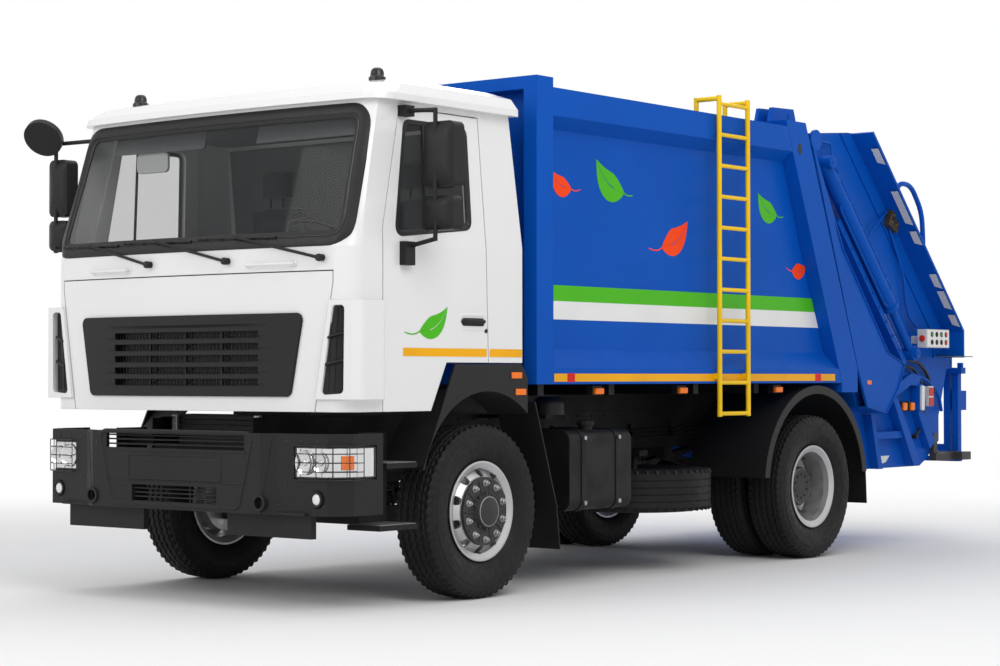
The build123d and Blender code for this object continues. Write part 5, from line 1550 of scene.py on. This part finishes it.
def cushion_form(x0, x1, y0, y1, z0, z1, squareness=0.35, cuts=14):
    """A closed form between a box and an ellipsoid, with its sides drawn in a little between corners."""
    bm = bmesh.new()
    bmesh.ops.create_cube(bm, size=2.0)
    bmesh.ops.subdivide_edges(bm, edges=bm.edges[:], cuts=cuts, use_grid_fill=True)
    middle = at((x0 + x1) / 2, (y0 + y1) / 2, (z0 + z1) / 2)
    half = Vector(((x1 - x0) / 2, (y1 - y0) / 2, (z1 - z0) / 2))
    for v in bm.verts:
        u = v.co.copy()
        ball = u.normalized() * max(abs(u.x), abs(u.y), abs(u.z))
        shaped = u.lerp(ball, squareness * 0.45)
        waist = 1 - 0.03 * (1 - abs(shaped.z)) * (1 - max(abs(shaped.x), abs(shaped.y)) * 0.5)
        v.co = middle + Vector((shaped.x * half.x * waist, shaped.y * half.y * waist, shaped.z * half.z))
    mesh = bpy.data.meshes.new("form")
    bm.to_mesh(mesh)
    bm.free()
    return mesh


def stuffed(mesh, limit=0.014, pressure=4.0, voxel=0.012):
    """The mesh swollen by a short cloth simulation, with its travel limited."""
    made = bpy.data.objects.new("stuffing", mesh)
    scene.collection.objects.link(made)
    fine = made.modifiers.new("fine", "REMESH")
    fine.mode, fine.voxel_size = "VOXEL", voxel
    graph = bpy.context.evaluated_depsgraph_get()
    base = bpy.data.meshes.new_from_object(made.evaluated_get(graph))
    made.modifiers.clear()
    made.data = base
    start = [v.co.copy() for v in base.vertices]
    cloth = made.modifiers.new("cloth", "CLOTH")
    cloth.settings.use_pressure = True
    cloth.settings.uniform_pressure_force = pressure
    cloth.settings.effector_weights.gravity = 0
    cloth.settings.quality = 4
    cloth.point_cache.frame_end = 20
    for number in range(1, 21):
        scene.frame_set(number)
    graph = bpy.context.evaluated_depsgraph_get()
    swollen = bpy.data.meshes.new_from_object(made.evaluated_get(graph))
    made.modifiers.clear()
    for v, old in zip(swollen.vertices, start):
        moved = v.co - old
        if moved.length > limit:
            v.co = old + moved.normalized() * limit
    base = swollen
    scene.frame_set(1)
    bpy.data.objects.remove(made)
    return base


def seat_piece(name, mesh, shift_x, body="cab"):
    """A padded piece from a stuffed mesh, moved to its side of the cab."""
    own = mesh.copy()
    own.transform(Matrix.Translation((shift_x, 0, 0)))
    own.materials.clear()
    own.materials.append(FINISHES["seat_cloth"])
    own.shade_smooth()
    made = bpy.data.objects.new(name, own)
    scene.collection.objects.link(made)
    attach(made, body)


# %% Seats
SEAT_PARTS = {
    "seat_cushion": (0.365, 0.835, -0.465, 0.025, 1.690, 1.836),
    "seat_back": (0.375, 0.825, 0.052, 0.148, 1.780, 2.430),
    "seat_headrest": (0.480, 0.720, 0.060, 0.142, 2.475, 2.640),
}
for part, (x0, x1, y0, y1, z0, z1) in SEAT_PARTS.items():
    form = stuffed(cushion_form(x0, x1, y0, y1, z0, z1))
    seat_piece(f"left_{part}", form, 0.0)
    seat_piece(f"right_{part}", form, -1.2)
    print(part, "points:", len(form.vertices))
bm = bmesh.new()
for x0 in (0.365, -0.835):
    for x in (x0 + 0.13, x0 + 0.34):
        bar(bm, [at(x, -0.44, 1.800), at(x, -0.30, 1.842), at(x, -0.10, 1.842), at(x, 0.01, 1.815)], 0.006,
            bend=0.1, sides=6)
        bar(bm, [at(x, 0.058, 1.83), at(x, 0.046, 1.95), at(x, 0.046, 2.25), at(x, 0.060, 2.39)], 0.006,
            bend=0.1, sides=6)
piece("seat_piping", bm, "cab", "rubber_seal")
bm = bmesh.new()
for x0 in (0.365, -0.835):
    block(bm, x0 + 0.03, x0 + 0.44, -0.43, 0.0, 1.436, 1.52)
    block(bm, x0 + 0.08, x0 + 0.39, -0.38, -0.05, 1.52, 1.655)
    block(bm, x0 + 0.02, x0 + 0.45, -0.45, 0.02, 1.650, 1.695)
    block(bm, x0 + 0.04, x0 + 0.43, 0.140, 0.158, 1.72, 2.40)
    for x in (x0 + 0.18, x0 + 0.29):
        bar(bm, [at(x, 0.10, 2.40), at(x, 0.10, 2.50)], 0.007)
piece("seat_frames", bm, "cab", "black_plastic", bevel=0.012, segments=3)

# %% [markdown]
# ## Dashboard and lining
# The dashboard is one long moulding with a hood over the dials; its section is drawn from the side
# and rounded by a bevel. Grey lining on the rear wall, the roof and the doors keeps the cab's
# inside from shining through the glass.

# %% Cab inside
bm = bmesh.new()
DASH = [(-1.138, 1.930), (-1.060, 1.990), (-0.985, 1.998), (-0.925, 1.975), (-0.905, 1.925), (-0.925, 1.850),
        (-0.985, 1.823), (-1.060, 1.823), (-1.130, 1.86)]
plate(bm, DASH, on_side, -1.130, 1.130)
plate(bm, [(-1.03, 1.985), (-0.945, 1.996), (-0.905, 1.965), (-0.912, 1.890), (-0.95, 1.86)], on_side, 0.38,
      0.82)
bar(bm, [at(0.6, -0.985, 1.72), at(0.6, -0.80, 2.03)], 0.036, sides=16)
for x in (-0.75, -0.2, 0.15, 0.98):
    turned(bm, [(0, 0), (0, 0.050), (0.006, 0.052), (0.010, 0.040), (0.010, 0)], at(x, -0.912, 1.93),
           (0, 1, 0.35), 24)
piece("dashboard", bm, "cab", "black_plastic", bevel=0.012, segments=3, replaces=["cab_interior"])
finish("cab_lining", (0.16, 0.165, 0.17), (0.7, 0.8), scale=60, bump=0.01, shade=0.95, dust=0.0)
bm = bmesh.new()
plate(bm, [(0.290, 1.44), (0.290, 2.10), (0.212, 2.82), (0.200, 2.82), (0.278, 2.10), (0.278, 1.44)], on_side,
      -1.14, 1.14)
plate(bm, oblong(-0.86, 0.195, 2.846, 2.856), on_side, -1.13, 1.13)
plate(bm, oblong(-1.12, 0.28, 1.4305, 1.4365), on_side, -1.14, 1.14)
for x in (-0.62, 0.62):
    plate(bm, [(-0.885, 2.835), (-0.862, 2.842), (-0.905, 2.700), (-0.925, 2.695)], on_side, x - 0.40,
          x + 0.40)
bar(bm, [at(-0.70, -0.870, 2.845), at(-0.70, -0.885, 2.70)], 0.008)
piece("cab_lining", bm, "cab", "cab_lining", bevel=0.003)
bm = bmesh.new()
plate(bm, rounded_outline(oblong(-0.84, -0.56, 2.575, 2.70), 0.04), on_front, -0.880, -0.900)
piece("inside_mirror", bm, "cab", "box_grey", bevel=0.004)
for side_name, sign in SIDES:
    bm = bmesh.new()
    card = [(-0.885, 1.46), (-0.03, 1.46), (-0.055, 2.060), (-0.88, 2.060)]
    plate(bm, rounded_outline(card, 0.04), on_side if sign > 0 else on_right, 1.1835, 1.1935)
    bar(bm, [at(sign * 1.184, -0.62, 1.80), at(sign * 1.165, -0.60, 1.80), at(sign * 1.165, -0.26, 1.84),
             at(sign * 1.184, -0.24, 1.84)], 0.016, bend=0.03)
    piece(f"{side_name}_door_card", bm, f"{side_name}_door", "cab_lining", bevel=0.004)
